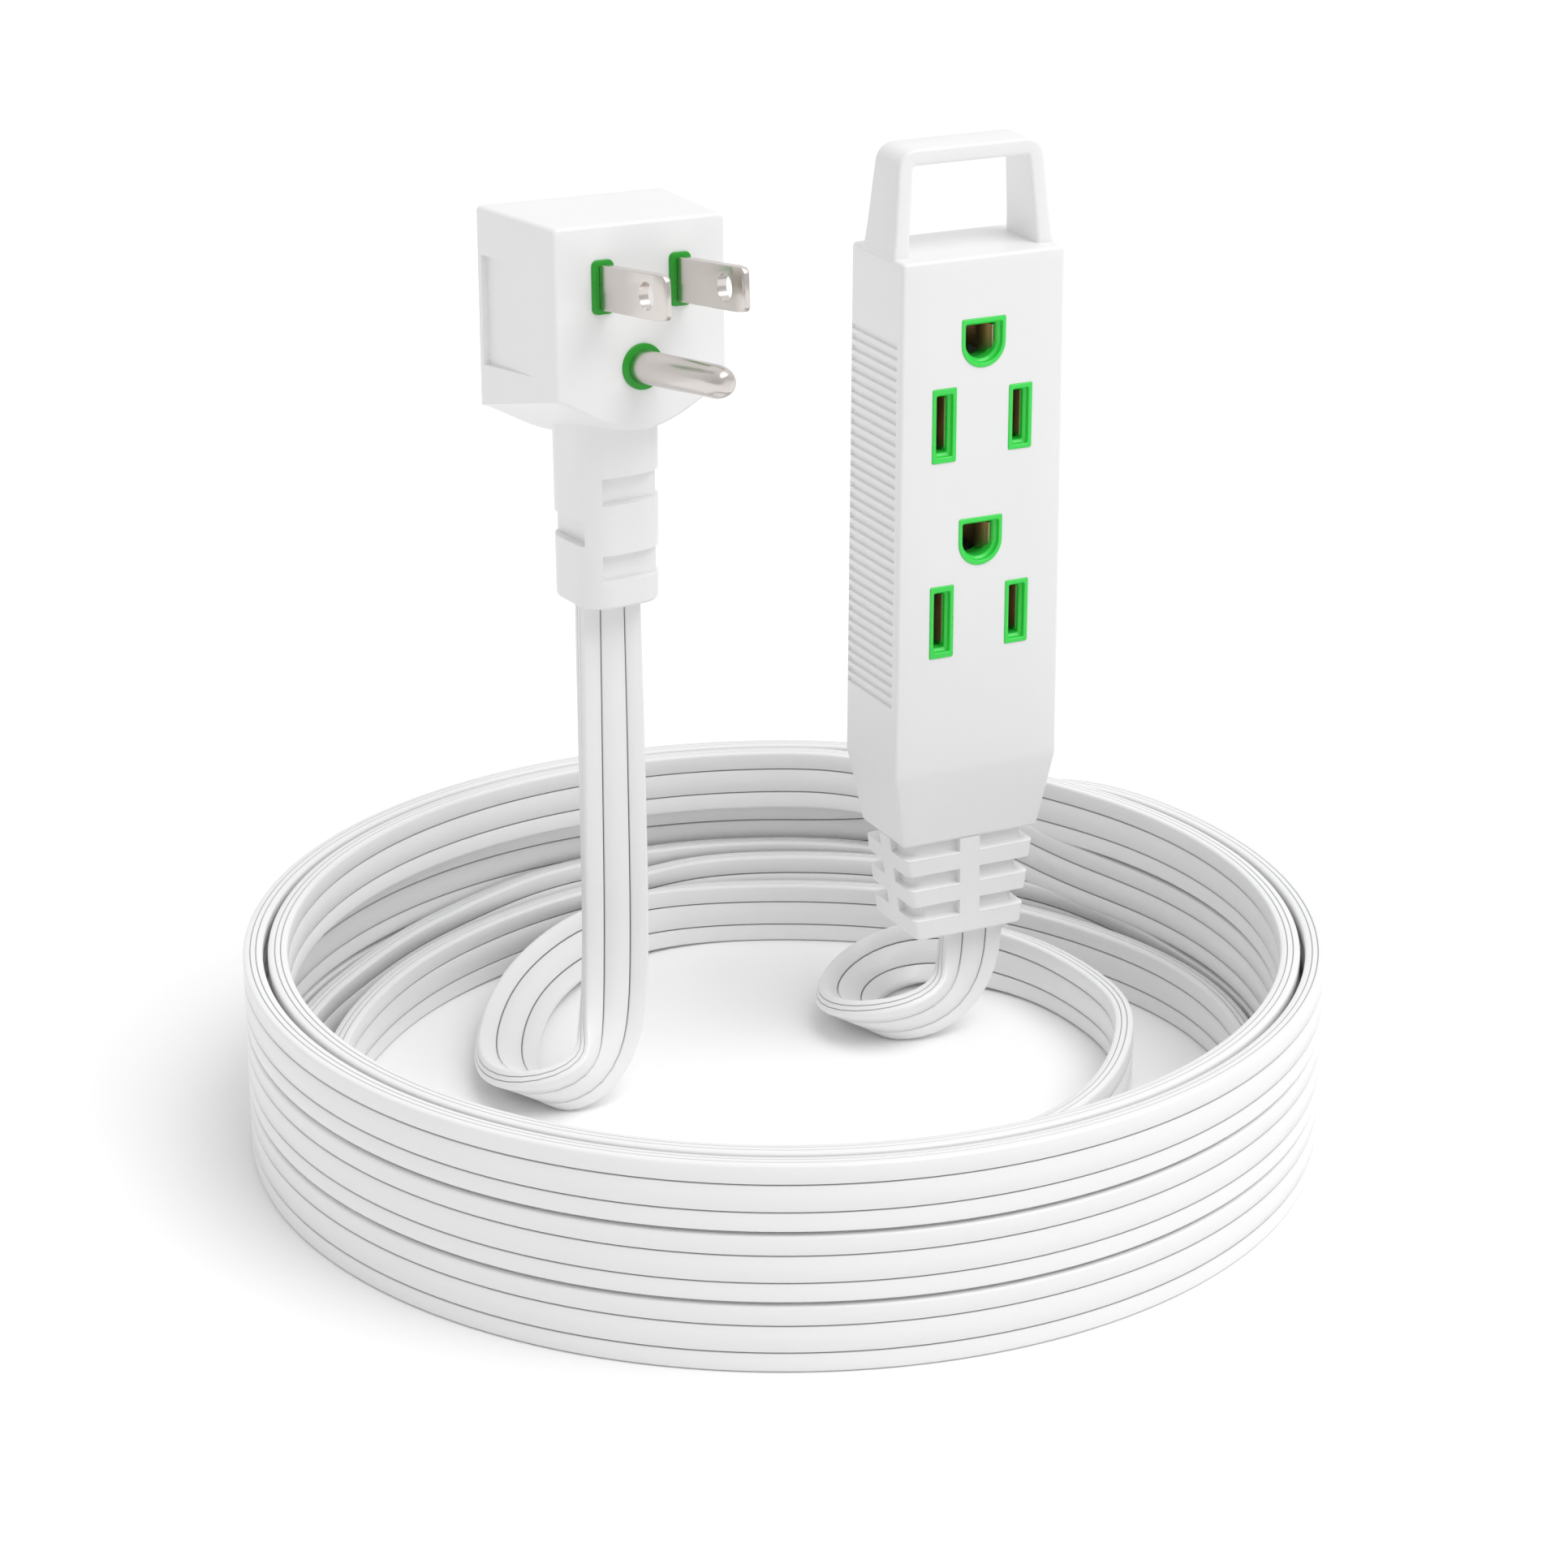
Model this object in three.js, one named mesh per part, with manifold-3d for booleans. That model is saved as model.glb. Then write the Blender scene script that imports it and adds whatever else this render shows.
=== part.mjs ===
// A flat three-conductor extension cord: a two-outlet block with a hanging loop, a coil of flat cord
// that stands on its edge, and a three-pin plug held up by its own stiff lead.
// Millimetres, +Z up. X runs across the block, Y from its face to its back. The origin is the
// underside of the loop's crossbar, where a hook carries the block.

import * as THREE from 'three';
import { mergeVertices } from 'three/addons/utils/BufferGeometryUtils.js';
import Module from 'manifold-3d';

const wasm = await Module();
wasm.setup();

// Driving dimensions. Heights are measured from the surface that the coil stands on.
const HOOK_HEIGHT = 139;
const GAP = 0.3;

const BLOCK = { top: 125.9, shoulder: 46.5, foot: 34.5, wall: 2, corner: 1.6, seam: -5.8 };
const BLOCK_TOP = { width: 26.8, depth: 16.6 };
const BLOCK_SHOULDER = { width: 27.8, depth: 16.6 };
const BLOCK_FOOT = { width: 23.2, depth: 14 };
const FACE_Y = -BLOCK_TOP.depth / 2;
const BACK_Y = BLOCK_TOP.depth / 2;

const HANDLE = { top: 141.4, member: 2.6, topWidth: 23.8, baseDepth: 10, topDepth: 7.4 };
const PEG = { thickness: 2, depth: 5, foot: 122.2 };

const SLOT_HEIGHTS = [101, 70.6];
const BLADE_SPACING = 12.7;
const GROUND_OFFSET = 11.9;
const LONG_SLOT = { width: 1.8, height: 8.6, rimWidth: 4, rimHeight: 11.3 };
const SHORT_SLOT = { width: 1.7, height: 7.7, rimWidth: 3.9, rimHeight: 10 };
const GROUND_HOLE = { width: 5.2, height: 5.2, rimWidth: 7.3, rimHeight: 7.5 };
const CARRIER = { width: 22, bottom: 60, top: 114.8, front: -5.5, back: -3.5 };

const BUS = { width: 3.2, thickness: 0.6, bottom: 62, leaf: 0.5, leafHeight: 7.6 };
const LIVE_BUS_Y = 0.6;
const GROUND_BUS_Y = 2.9;
const CRIMP = { radius: 1.7, length: 7 };
const LEAD_RADIUS = 1.1;

const SCREW = { headRadius: 2.2, headHeight: 0.9, shankRadius: 1, bossRadius: 2, x: 9 };
const SCREW_HEIGHTS = [119.3, 48];
const CLAMP = { width: 15, height: 4.5, bottom: 39.6, front: 2.4, thickness: 1.6, screwX: 5.6 };

const RELIEF = { bottom: 18.7, width: 18.2, depth: 14.5, spine: 3.4 };
const RELIEF_SLOT = { height: 2.1, pitch: 4.7, bite: 1.5, first: 2.6, widening: 1.3 };
const RELIEF_STEM = { width: 13.4, depth: 7.4, flangeWidth: 17, flangeDepth: 9.4, flangeThickness: 1.5 };

const PLUG = { x: -52.8, y: -4, height: 126.6, yaw: 7.1, lean: 4.1, roll: 2.2, depth: 19.5, corner: 1 };
const PLUG_FACE = { width: 27.9, top: 8.7, bottom: -15.6, keel: -20.8 };
const PLUG_BACK = { width: 31.3, top: 10, bottom: -18.8, keel: -24.2 };
const PLUG_CAVITY = { width: 23, front: 3, back: 13.4, top: 5, bottom: -15.5 };
const CORD_WAY = { x: -0.9, y: 10.7, width: 10, depth: 4 };
const GRIP = { depth: 2.6, back: 18.2, front: 4.2, bottom: -12.8, top: 3 };
const BRIDGE = { width: 22.2, front: 3.3, back: 6.3, top: 4.6, bottom: -15.1 };
const PRONG = { bladeWidth: 6.35, bladeThickness: 1.5, pinRadius: 2.4, tail: 8.2 };
const PRONG_REACH = { blade: 18, pin: 22.2 };
const BLADE_TIP = { length: 1.5, taper: 1.4, holeRadius: 2, holeOffset: 6.1 };
const COLLAR = { width: 3.5, height: 7.7, groundRadius: 3.35 };
const NECK = { x: -54.8, y: 5.1, top: 107.1, length: 29.2, width: 13.6, tipWidth: 13.2, corner: 4.4 };
const NECK_SLOT = { bite: 1.2, reach: 4.3 };
const NECK_FRONT_SLOTS = { height: 4.1, bottoms: [-13.4, -25] };
const NECK_BACK_SLOTS = { height: 3.7, bottoms: [-19.7] };

const CORD = { width: 10, thickness: 2.9 };
const COIL = { x: -37.1, y: -17.7, outer: 79.7, wallInner: 73.1, height: 31 };
const COIL_STEP = { inner: 68, height: 10.3 };

const WHITE = new THREE.MeshStandardMaterial({ color: 0xf1f1ef, roughness: 0.42, metalness: 0 });
const CORD_WHITE = new THREE.MeshStandardMaterial({ color: 0xefefee, roughness: 0.5, metalness: 0 });
const GREEN = new THREE.MeshStandardMaterial({ color: 0x36c94e, roughness: 0.4, metalness: 0 });
const NICKEL = new THREE.MeshStandardMaterial({ color: 0xc9c0b9, roughness: 0.28, metalness: 1 });
const BRASS = new THREE.MeshStandardMaterial({ color: 0xb08a5a, roughness: 0.35, metalness: 1 });
const STEEL = new THREE.MeshStandardMaterial({ color: 0xb8babd, roughness: 0.35, metalness: 1 });
const INSULATION = {
	line: new THREE.MeshStandardMaterial({ color: 0x222222, roughness: 0.5, metalness: 0 }),
	neutral: new THREE.MeshStandardMaterial({ color: 0xe8e8e4, roughness: 0.5, metalness: 0 }),
	ground: new THREE.MeshStandardMaterial({ color: 0x2f8f46, roughness: 0.5, metalness: 0 }),
};

// Solids and meshes.

function toSolid(geometry) {
	const bare = geometry.clone();
	bare.deleteAttribute('normal');
	bare.deleteAttribute('uv');
	const merged = mergeVertices(bare, 1e-4);
	const vertProperties = merged.attributes.position.array;
	return new wasm.Manifold(new wasm.Mesh({ numProp: 3, vertProperties, triVerts: merged.index.array }));
}

function toGeometry(solid) {
	const mesh = solid.getMesh();
	const geometry = new THREE.BufferGeometry();
	geometry.setAttribute('position', new THREE.BufferAttribute(mesh.vertProperties, 3));
	geometry.setIndex(new THREE.BufferAttribute(mesh.triVerts, 1));
	geometry.computeVertexNormals();
	return geometry;
}

function join(solids) {
	return solids.reduce((whole, solid) => whole.add(solid));
}

function cut(solid, tools) {
	return tools.reduce((left, tool) => left.subtract(tool), solid);
}

function addPart(group, name, shape, material) {
	const geometry = shape.isBufferGeometry ? shape : toGeometry(shape);
	const mesh = new THREE.Mesh(geometry, material.clone());
	mesh.name = name;
	group.add(mesh);
}

// Outlines.

function roundedRectangle(width, height, radius, x = 0, y = 0) {
	const right = width / 2;
	const top = height / 2;
	const shape = new THREE.Shape();
	shape.absarc(x + right - radius, y + top - radius, radius, 0, Math.PI / 2);
	shape.absarc(x - right + radius, y + top - radius, radius, Math.PI / 2, Math.PI);
	shape.absarc(x - right + radius, y - top + radius, radius, Math.PI, Math.PI * 1.5);
	shape.absarc(x + right - radius, y - top + radius, radius, Math.PI * 1.5, Math.PI * 2);
	shape.closePath();
	return shape;
}

// A hole with a flat top and a half-round bottom.
function groundOutline(width, height, x, y) {
	const radius = width / 2;
	const top = y + height / 2;
	const shape = new THREE.Shape();
	shape.moveTo(x + radius, top);
	shape.lineTo(x - radius, top);
	shape.absarc(x, y - height / 2 + radius, radius, Math.PI, Math.PI * 2);
	shape.closePath();
	return shape;
}

// Basic bodies.

function extrude(shape, depth, curveSegments = 4) {
	return new THREE.ExtrudeGeometry(shape, { depth, bevelEnabled: false, curveSegments });
}

// An outline drawn across the front, from one depth to another.
function plate(shape, front, back, curveSegments) {
	const geometry = extrude(shape, back - front, curveSegments);
	return geometry.rotateX(Math.PI / 2).translate(0, back, 0);
}

function box(x0, x1, y0, y1, z0, z1) {
	const geometry = new THREE.BoxGeometry(x1 - x0, y1 - y0, z1 - z0);
	return geometry.translate((x0 + x1) / 2, (y0 + y1) / 2, (z0 + z1) / 2);
}

// A round bar along Y.
function bar(radius, x, z, front, back, segments = 16) {
	const geometry = new THREE.CylinderGeometry(radius, radius, back - front, segments);
	return geometry.translate(x, (front + back) / 2, z);
}

// A round bar along Z.
function post(radius, x, y, bottom, top, segments = 12) {
	const geometry = new THREE.CylinderGeometry(radius, radius, top - bottom, segments).rotateX(Math.PI / 2);
	return geometry.translate(x, y, (bottom + top) / 2);
}

// A rounded column whose width and depth change evenly from its bottom to its top.
function taperedColumn(lower, upper, corner, bottom, top) {
	const geometry = extrude(roundedRectangle(lower.width, lower.depth, corner), top - bottom);
	const position = geometry.attributes.position;
	for (let i = 0; i < position.count; i++) {
		if (position.getZ(i) > 0) {
			position.setX(i, (position.getX(i) * upper.width) / lower.width);
			position.setY(i, (position.getY(i) * upper.depth) / lower.depth);
		}
	}
	return geometry.translate(0, 0, bottom);
}

function inset(size, amount) {
	return { width: size.width - 2 * amount, depth: size.depth - 2 * amount };
}

// Outlets: for each one, a long slot, a short slot and the ground hole above them.

function outletOutlines(grow, rims) {
	const outlines = [];
	for (const height of SLOT_HEIGHTS) {
		[[-1, LONG_SLOT], [1, SHORT_SLOT]].forEach(([side, slot]) => {
			const width = (rims ? slot.rimWidth : slot.width) + 2 * grow;
			const tall = (rims ? slot.rimHeight : slot.height) + 2 * grow;
			const corner = rims ? 1 + grow : 0.3;
			outlines.push(roundedRectangle(width, tall, corner, (side * BLADE_SPACING) / 2, height));
		});
		const width = (rims ? GROUND_HOLE.rimWidth : GROUND_HOLE.width) + 2 * grow;
		const tall = (rims ? GROUND_HOLE.rimHeight : GROUND_HOLE.height) + 2 * grow;
		outlines.push(groundOutline(width, tall, 0, height + GROUND_OFFSET));
	}
	return outlines;
}

function outletBars(grow, rims, front, back) {
	return outletOutlines(grow, rims).map((outline) => toSolid(plate(outline, front, back, 6)));
}

// Block housing.

function housingHull(amount) {
	const foot = BLOCK.foot + amount;
	const top = BLOCK.top - amount;
	const shoulderSize = inset(BLOCK_SHOULDER, amount);
	const skirt = taperedColumn(inset(BLOCK_FOOT, amount), shoulderSize, BLOCK.corner, foot, BLOCK.shoulder);
	const body = taperedColumn(shoulderSize, inset(BLOCK_TOP, amount), BLOCK.corner, BLOCK.shoulder, top);
	return join([toSolid(skirt), toSolid(body)]);
}

function screwPlaces() {
	return SCREW_HEIGHTS.flatMap((height) => [-SCREW.x, SCREW.x].map((x) => [x, height]));
}

function frontCover() {
	const half = BLOCK_SHOULDER.width;
	const faceSlab = toSolid(box(-half, half, FACE_Y - 1, BLOCK.seam - GAP, 0, BLOCK.top + 1));
	const slab = housingHull(0).intersect(faceSlab);
	const bossEnd = BACK_Y - BLOCK.wall - 1;
	const bosses = screwPlaces().map(([x, z]) => toSolid(bar(SCREW.bossRadius, x, z, BLOCK.seam - 1, bossEnd)));
	const bores = screwPlaces().map(([x, z]) => toSolid(bar(SCREW.shankRadius + GAP, x, z, -4, BACK_Y)));
	return cut(join([slab, ...bosses]), [...bores, ...outletBars(GAP, true, FACE_Y - 1, 0)]);
}

function pegHoles() {
	return [-1, 1].map((side) => {
		const outer = pegOuter() + GAP;
		const inner = outer - PEG.thickness - 2 * GAP;
		const half = PEG.depth / 2 + GAP;
		const hole = box(inner, outer, -half, half, BLOCK.top - BLOCK.wall - 1, BLOCK.top + 1);
		return toSolid(side > 0 ? hole : hole.rotateZ(Math.PI));
	});
}

function rearCover() {
	const half = BLOCK_SHOULDER.width;
	const backSlab = toSolid(box(-half, half, BLOCK.seam, BACK_Y + 1, 0, BLOCK.top + 1));
	const shell = housingHull(0).subtract(housingHull(BLOCK.wall)).intersect(backSlab);
	const stemWidth = RELIEF_STEM.width / 2 + GAP;
	const stemDepth = RELIEF_STEM.depth / 2 + GAP;
	const stemHole = box(-stemWidth, stemWidth, -stemDepth, stemDepth, 0, BLOCK.foot + BLOCK.wall + 1);
	const recessFloor = BACK_Y - SCREW.headHeight - GAP;
	const screwHoles = screwPlaces().flatMap(([x, z]) => [
		toSolid(bar(SCREW.shankRadius + GAP, x, z, 0, BACK_Y + 1)),
		toSolid(bar(SCREW.headRadius + GAP, x, z, recessFloor, BACK_Y + 1)),
	]);
	return cut(shell, [toSolid(stemHole), ...screwHoles, ...pegHoles()]);
}

function coverScrew(x, z) {
	const headFront = BACK_Y - SCREW.headHeight;
	const head = toSolid(bar(SCREW.headRadius, x, z, headFront, BACK_Y));
	const shank = toSolid(bar(SCREW.shankRadius, x, z, -3.5, headFront + 0.2));
	return head.add(shank);
}

// Hanging loop: two legs and a crossbar, with a peg under each leg that snaps through the top wall.

function pegOuter() {
	return BLOCK_TOP.width / 2 - BLOCK.wall - 0.6;
}

function handleOutline() {
	const baseOuter = BLOCK_TOP.width / 2;
	const topOuter = HANDLE.topWidth / 2;
	const topInner = topOuter - HANDLE.member;
	const base = BLOCK.top + GAP;
	const outerCorner = 3;
	const innerCorner = 1.6;
	const shape = new THREE.Shape();
	shape.moveTo(baseOuter, base);
	shape.lineTo(topOuter, HANDLE.top - outerCorner);
	shape.quadraticCurveTo(topOuter, HANDLE.top, topOuter - outerCorner, HANDLE.top);
	shape.lineTo(-topOuter + outerCorner, HANDLE.top);
	shape.quadraticCurveTo(-topOuter, HANDLE.top, -topOuter, HANDLE.top - outerCorner);
	shape.lineTo(-baseOuter, base);
	shape.lineTo(-baseOuter + HANDLE.member, base);
	shape.lineTo(-topInner, HOOK_HEIGHT - innerCorner);
	shape.quadraticCurveTo(-topInner, HOOK_HEIGHT, -topInner + innerCorner, HOOK_HEIGHT);
	shape.lineTo(topInner - innerCorner, HOOK_HEIGHT);
	shape.quadraticCurveTo(topInner, HOOK_HEIGHT, topInner, HOOK_HEIGHT - innerCorner);
	shape.lineTo(baseOuter - HANDLE.member, base);
	shape.closePath();
	return shape;
}

function hangHandle() {
	const loop = plate(handleOutline(), -HANDLE.baseDepth / 2, HANDLE.baseDepth / 2, 4);
	const position = loop.attributes.position;
	const base = BLOCK.top + GAP;
	for (let i = 0; i < position.count; i++) {
		const share = (position.getZ(i) - base) / (HANDLE.top - base);
		const depth = HANDLE.baseDepth + share * (HANDLE.topDepth - HANDLE.baseDepth);
		position.setY(i, (position.getY(i) * depth) / HANDLE.baseDepth);
	}
	const outer = pegOuter();
	const pegs = [-1, 1].map((side) => {
		const peg = box(outer - PEG.thickness, outer, -PEG.depth / 2, PEG.depth / 2, PEG.foot, base + 0.5);
		return toSolid(side > 0 ? peg : peg.rotateZ(Math.PI));
	});
	return join([toSolid(loop), ...pegs]);
}

// Contacts.

function contactCarrier() {
	const height = CARRIER.top - CARRIER.bottom;
	const outline = roundedRectangle(CARRIER.width, height, 1.5, 0, (CARRIER.top + CARRIER.bottom) / 2);
	const base = toSolid(plate(outline, CARRIER.front, CARRIER.back));
	const collars = outletBars(0, true, FACE_Y, CARRIER.front + 0.5);
	return cut(join([base, ...collars]), outletBars(0, false, FACE_Y - 1, 0));
}

// A vertical strip with a pair of spring leaves behind each opening that it serves.
function busBar(x, y, top, centres, halfGap, leafHeight) {
	const half = BUS.width / 2;
	const strip = toSolid(box(x - half, x + half, y, y + BUS.thickness, BUS.bottom, top));
	const feet = [];
	const leaves = [];
	for (const z of centres) {
		const reach = halfGap + BUS.leaf;
		const low = z - leafHeight / 2;
		const high = z + leafHeight / 2;
		feet.push(toSolid(box(x - reach, x + reach, y, y + BUS.thickness, low, high)));
		for (const side of [-1, 1]) {
			const middle = x + side * (halfGap + BUS.leaf / 2);
			const [left, right] = [middle - BUS.leaf / 2, middle + BUS.leaf / 2];
			leaves.push(toSolid(box(left, right, CARRIER.back + GAP, y + BUS.thickness / 2, low, high)));
		}
	}
	return join([strip, ...feet, ...leaves]);
}

function crimp(x, y, top) {
	return post(CRIMP.radius, x, y, top - CRIMP.length, top);
}

class Route extends THREE.CatmullRomCurve3 {
	constructor(points) {
		super(points.map((point) => new THREE.Vector3(...point)), false, 'centripetal');
	}
}

function roundTube(points, radius, steps) {
	const section = new THREE.Shape().absarc(0, 0, radius, 0, Math.PI * 2);
	const extrudePath = new Route(points);
	return new THREE.ExtrudeGeometry(section, { steps, curveSegments: 8, bevelEnabled: false, extrudePath });
}

function innerLead(x, y, side) {
	const start = BUS.bottom - GAP - CRIMP.length - GAP;
	const end = BLOCK.foot + BLOCK.wall + GAP + RELIEF_STEM.flangeThickness + GAP;
	const points = [
		[x, y, start],
		[x * 0.8, y, start - 4.5],
		[side * 3.2, -1.2, end + 5],
		[side * 3, -1.2, end],
	];
	return roundTube(points, LEAD_RADIUS, 8);
}

function cordClamp() {
	const back = CLAMP.front + CLAMP.thickness;
	const half = CLAMP.width / 2;
	const saddle = box(-half, half, CLAMP.front, back, CLAMP.bottom, CLAMP.bottom + CLAMP.height);
	const z = CLAMP.bottom + CLAMP.height / 2;
	const holes = [-1, 1].map((side) => toSolid(bar(1.3, side * CLAMP.screwX, z, 0, 8)));
	return cut(toSolid(saddle), holes);
}

function clampScrew(side) {
	const z = CLAMP.bottom + CLAMP.height / 2;
	const back = CLAMP.front + CLAMP.thickness;
	const head = toSolid(bar(1.9, side * CLAMP.screwX, z, back + GAP, back + GAP + 0.9));
	return head.add(toSolid(bar(1, side * CLAMP.screwX, z, 0.6, back + GAP + 0.2)));
}

// Slotted sleeves. A slot wraps round each vertical corner and leaves a spine on every face.

function cornerSlots(width, depth, spineX, spineY, bite, z, height, sides) {
	return sides.map(([sx, sy]) => {
		const across = box(spineX, width, depth / 2 - bite, depth, z, z + height);
		const along = box(width / 2 - bite, width, spineY, depth, z, z + height);
		const tool = toSolid(across).add(toSolid(along));
		return tool.scale([sx, sy, 1]);
	});
}

const ALL_CORNERS = [[1, 1], [1, -1], [-1, 1], [-1, -1]];

function blockRelief() {
	const top = BLOCK.foot - GAP;
	const lower = { width: RELIEF.width, depth: RELIEF.depth };
	const sleeve = toSolid(taperedColumn(lower, inset(BLOCK_FOOT, 0.2), 2, RELIEF.bottom, top));
	const stemTop = BLOCK.foot + BLOCK.wall + GAP + 0.1;
	const stemX = RELIEF_STEM.width / 2;
	const stemY = RELIEF_STEM.depth / 2;
	const stem = box(-stemX, stemX, -stemY, stemY, top - 1, stemTop);
	const flangeBottom = BLOCK.foot + BLOCK.wall + GAP;
	const flangeTop = flangeBottom + RELIEF_STEM.flangeThickness;
	const x = RELIEF_STEM.flangeWidth / 2;
	const y = RELIEF_STEM.flangeDepth / 2;
	const flange = box(-x, x, -y, y, flangeBottom, flangeTop);
	const spine = RELIEF.spine / 2;
	const { height, pitch, bite, first, widening } = RELIEF_SLOT;
	const slots = [0, 1, 2].flatMap((row) => {
		const z = RELIEF.bottom + first + row * pitch;
		const width = RELIEF.width + row * widening;
		return cornerSlots(width, RELIEF.depth, spine, spine, bite, z, height, ALL_CORNERS);
	});
	return cut(join([sleeve, toSolid(stem), toSolid(flange)]), slots);
}

// Plug, drawn in its own frame: X across, Y from its face to its back, Z up from the blade line.
// The neck hangs straight down in a frame of its own.

function turned(x, y, z) {
	return new THREE.Euler(...[x, y, z].map(THREE.MathUtils.degToRad), 'ZXY');
}

const plugFrame = new THREE.Matrix4().makeRotationFromEuler(turned(-PLUG.lean, PLUG.roll, PLUG.yaw));
plugFrame.setPosition(PLUG.x, PLUG.y, PLUG.height);
const neckFrame = new THREE.Matrix4().makeRotationFromEuler(turned(0, 0, PLUG.yaw));
neckFrame.setPosition(NECK.x, NECK.y, NECK.top);

// Straight sides over a belly that hangs down to a keel in the middle.
function plugFaceOutline() {
	const { width, top, bottom, keel } = PLUG_FACE;
	const half = width / 2;
	const steps = 12;
	const shape = new THREE.Shape();
	shape.absarc(half - PLUG.corner, top - PLUG.corner, PLUG.corner, 0, Math.PI / 2);
	shape.absarc(-half + PLUG.corner, top - PLUG.corner, PLUG.corner, Math.PI / 2, Math.PI);
	for (let i = 0; i <= steps; i++) {
		const share = (2 * i) / steps - 1;
		shape.lineTo(share * half, bottom + (keel - bottom) * Math.cos((share * Math.PI) / 2));
	}
	shape.closePath();
	return shape;
}

function plugHull() {
	const hull = plate(plugFaceOutline(), 0, PLUG.depth, 4);
	const position = hull.attributes.position;
	const sideScale = (PLUG_BACK.top - PLUG_BACK.bottom) / (PLUG_FACE.top - PLUG_FACE.bottom);
	const bellyScale = (PLUG_BACK.keel - PLUG_BACK.bottom) / (PLUG_FACE.keel - PLUG_FACE.bottom);
	for (let i = 0; i < position.count; i++) {
		if (position.getY(i) > PLUG.depth / 2) {
			const above = position.getZ(i) - PLUG_FACE.bottom;
			position.setX(i, (position.getX(i) * PLUG_BACK.width) / PLUG_FACE.width);
			position.setZ(i, PLUG_BACK.bottom + above * (above > 0 ? sideScale : bellyScale));
		}
	}
	return toSolid(hull);
}

// A grip hollow in one side: a sharp step near the back that ramps out towards the face.
function gripHollow(side) {
	const floor = PLUG_BACK.width / 2 - GRIP.depth;
	const outside = PLUG_BACK.width / 2 + 2;
	const ramp = new THREE.Shape();
	ramp.moveTo(floor, GRIP.back);
	ramp.lineTo(outside, GRIP.back);
	ramp.lineTo(outside, GRIP.front);
	ramp.lineTo(PLUG_FACE.width / 2 + 0.2, GRIP.front);
	ramp.closePath();
	const tool = toSolid(extrude(ramp, GRIP.top - GRIP.bottom).translate(0, 0, GRIP.bottom));
	return tool.scale([side, 1, 1]);
}

// The hollow under the body that takes the top of the neck.
function neckSocket() {
	const width = NECK.width + 2 * GAP;
	const column = extrude(roundedRectangle(width, width, NECK.corner + GAP), NECK.length);
	column.translate(0, 0, GAP - NECK.length);
	return toSolid(column.applyMatrix4(neckFrame).applyMatrix4(plugFrame.clone().invert()));
}

function collarOutlines(grow) {
	const blades = [-1, 1].map((side) => {
		const x = (side * BLADE_SPACING) / 2;
		return roundedRectangle(COLLAR.width + 2 * grow, COLLAR.height + 2 * grow, 1.2, x, 0);
	});
	const ring = new THREE.Shape().absarc(0, -GROUND_OFFSET, COLLAR.groundRadius + grow, 0, Math.PI * 2);
	return [...blades, ring];
}

function plugBody() {
	const cavity = box(
		-PLUG_CAVITY.width / 2, PLUG_CAVITY.width / 2,
		PLUG_CAVITY.front, PLUG_CAVITY.back,
		PLUG_CAVITY.bottom, PLUG_CAVITY.top,
	);
	const collars = collarOutlines(GAP).map((outline) => toSolid(plate(outline, -1, PLUG_CAVITY.front + 1, 6)));
	const cordWay = new THREE.BoxGeometry(CORD_WAY.width, CORD_WAY.depth, 10);
	cordWay.translate(CORD_WAY.x, CORD_WAY.y, PLUG_CAVITY.bottom - 4);
	const hollows = [cavity, cordWay].map(toSolid);
	const tools = [...hollows, neckSocket(), ...collars, gripHollow(1), gripHollow(-1)];
	return cut(plugHull(), tools);
}

function bladeOutline(side, grow) {
	const width = PRONG.bladeThickness + 2 * grow;
	return roundedRectangle(width, PRONG.bladeWidth + 2 * grow, 0.2, (side * BLADE_SPACING) / 2, 0);
}

function bladeBridge() {
	const height = BRIDGE.top - BRIDGE.bottom;
	const outline = roundedRectangle(BRIDGE.width, height, 2, 0, (BRIDGE.top + BRIDGE.bottom) / 2);
	const base = toSolid(plate(outline, BRIDGE.front, BRIDGE.back));
	const collars = collarOutlines(0).map((collar) => toSolid(plate(collar, 0, BRIDGE.front + 0.5, 6)));
	const ways = [-1, 1].map((side) => toSolid(plate(bladeOutline(side, GAP), -1, BRIDGE.back + 1, 2)));
	const pinWay = toSolid(bar(PRONG.pinRadius + GAP, 0, -GROUND_OFFSET, -1, BRIDGE.back + 1));
	return cut(join([base, ...collars]), [...ways, pinWay]);
}

// A flat blade with a chamfered tip and a round hole near its end.
function blade(side) {
	const x = (side * BLADE_SPACING) / 2;
	const half = PRONG.bladeWidth / 2;
	const tip = -PRONG_REACH.blade;
	const outline = new THREE.Shape();
	outline.moveTo(PRONG.tail, half);
	outline.lineTo(tip + BLADE_TIP.length, half);
	outline.lineTo(tip, half - BLADE_TIP.taper);
	outline.lineTo(tip, -half + BLADE_TIP.taper);
	outline.lineTo(tip + BLADE_TIP.length, -half);
	outline.lineTo(PRONG.tail, -half);
	outline.closePath();
	const body = extrude(outline, PRONG.bladeThickness);
	// The outline's X becomes Y, its Y becomes Z, and the thickness runs across.
	const left = x - PRONG.bladeThickness / 2;
	body.applyMatrix4(new THREE.Matrix4().set(0, 0, 1, left, 1, 0, 0, 0, 0, 1, 0, 0, 0, 0, 0, 1));
	const hole = new THREE.CylinderGeometry(BLADE_TIP.holeRadius, BLADE_TIP.holeRadius, 4, 16);
	hole.rotateZ(Math.PI / 2).translate(x, tip + BLADE_TIP.holeOffset, 0);
	return toSolid(body).subtract(toSolid(hole));
}

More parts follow.
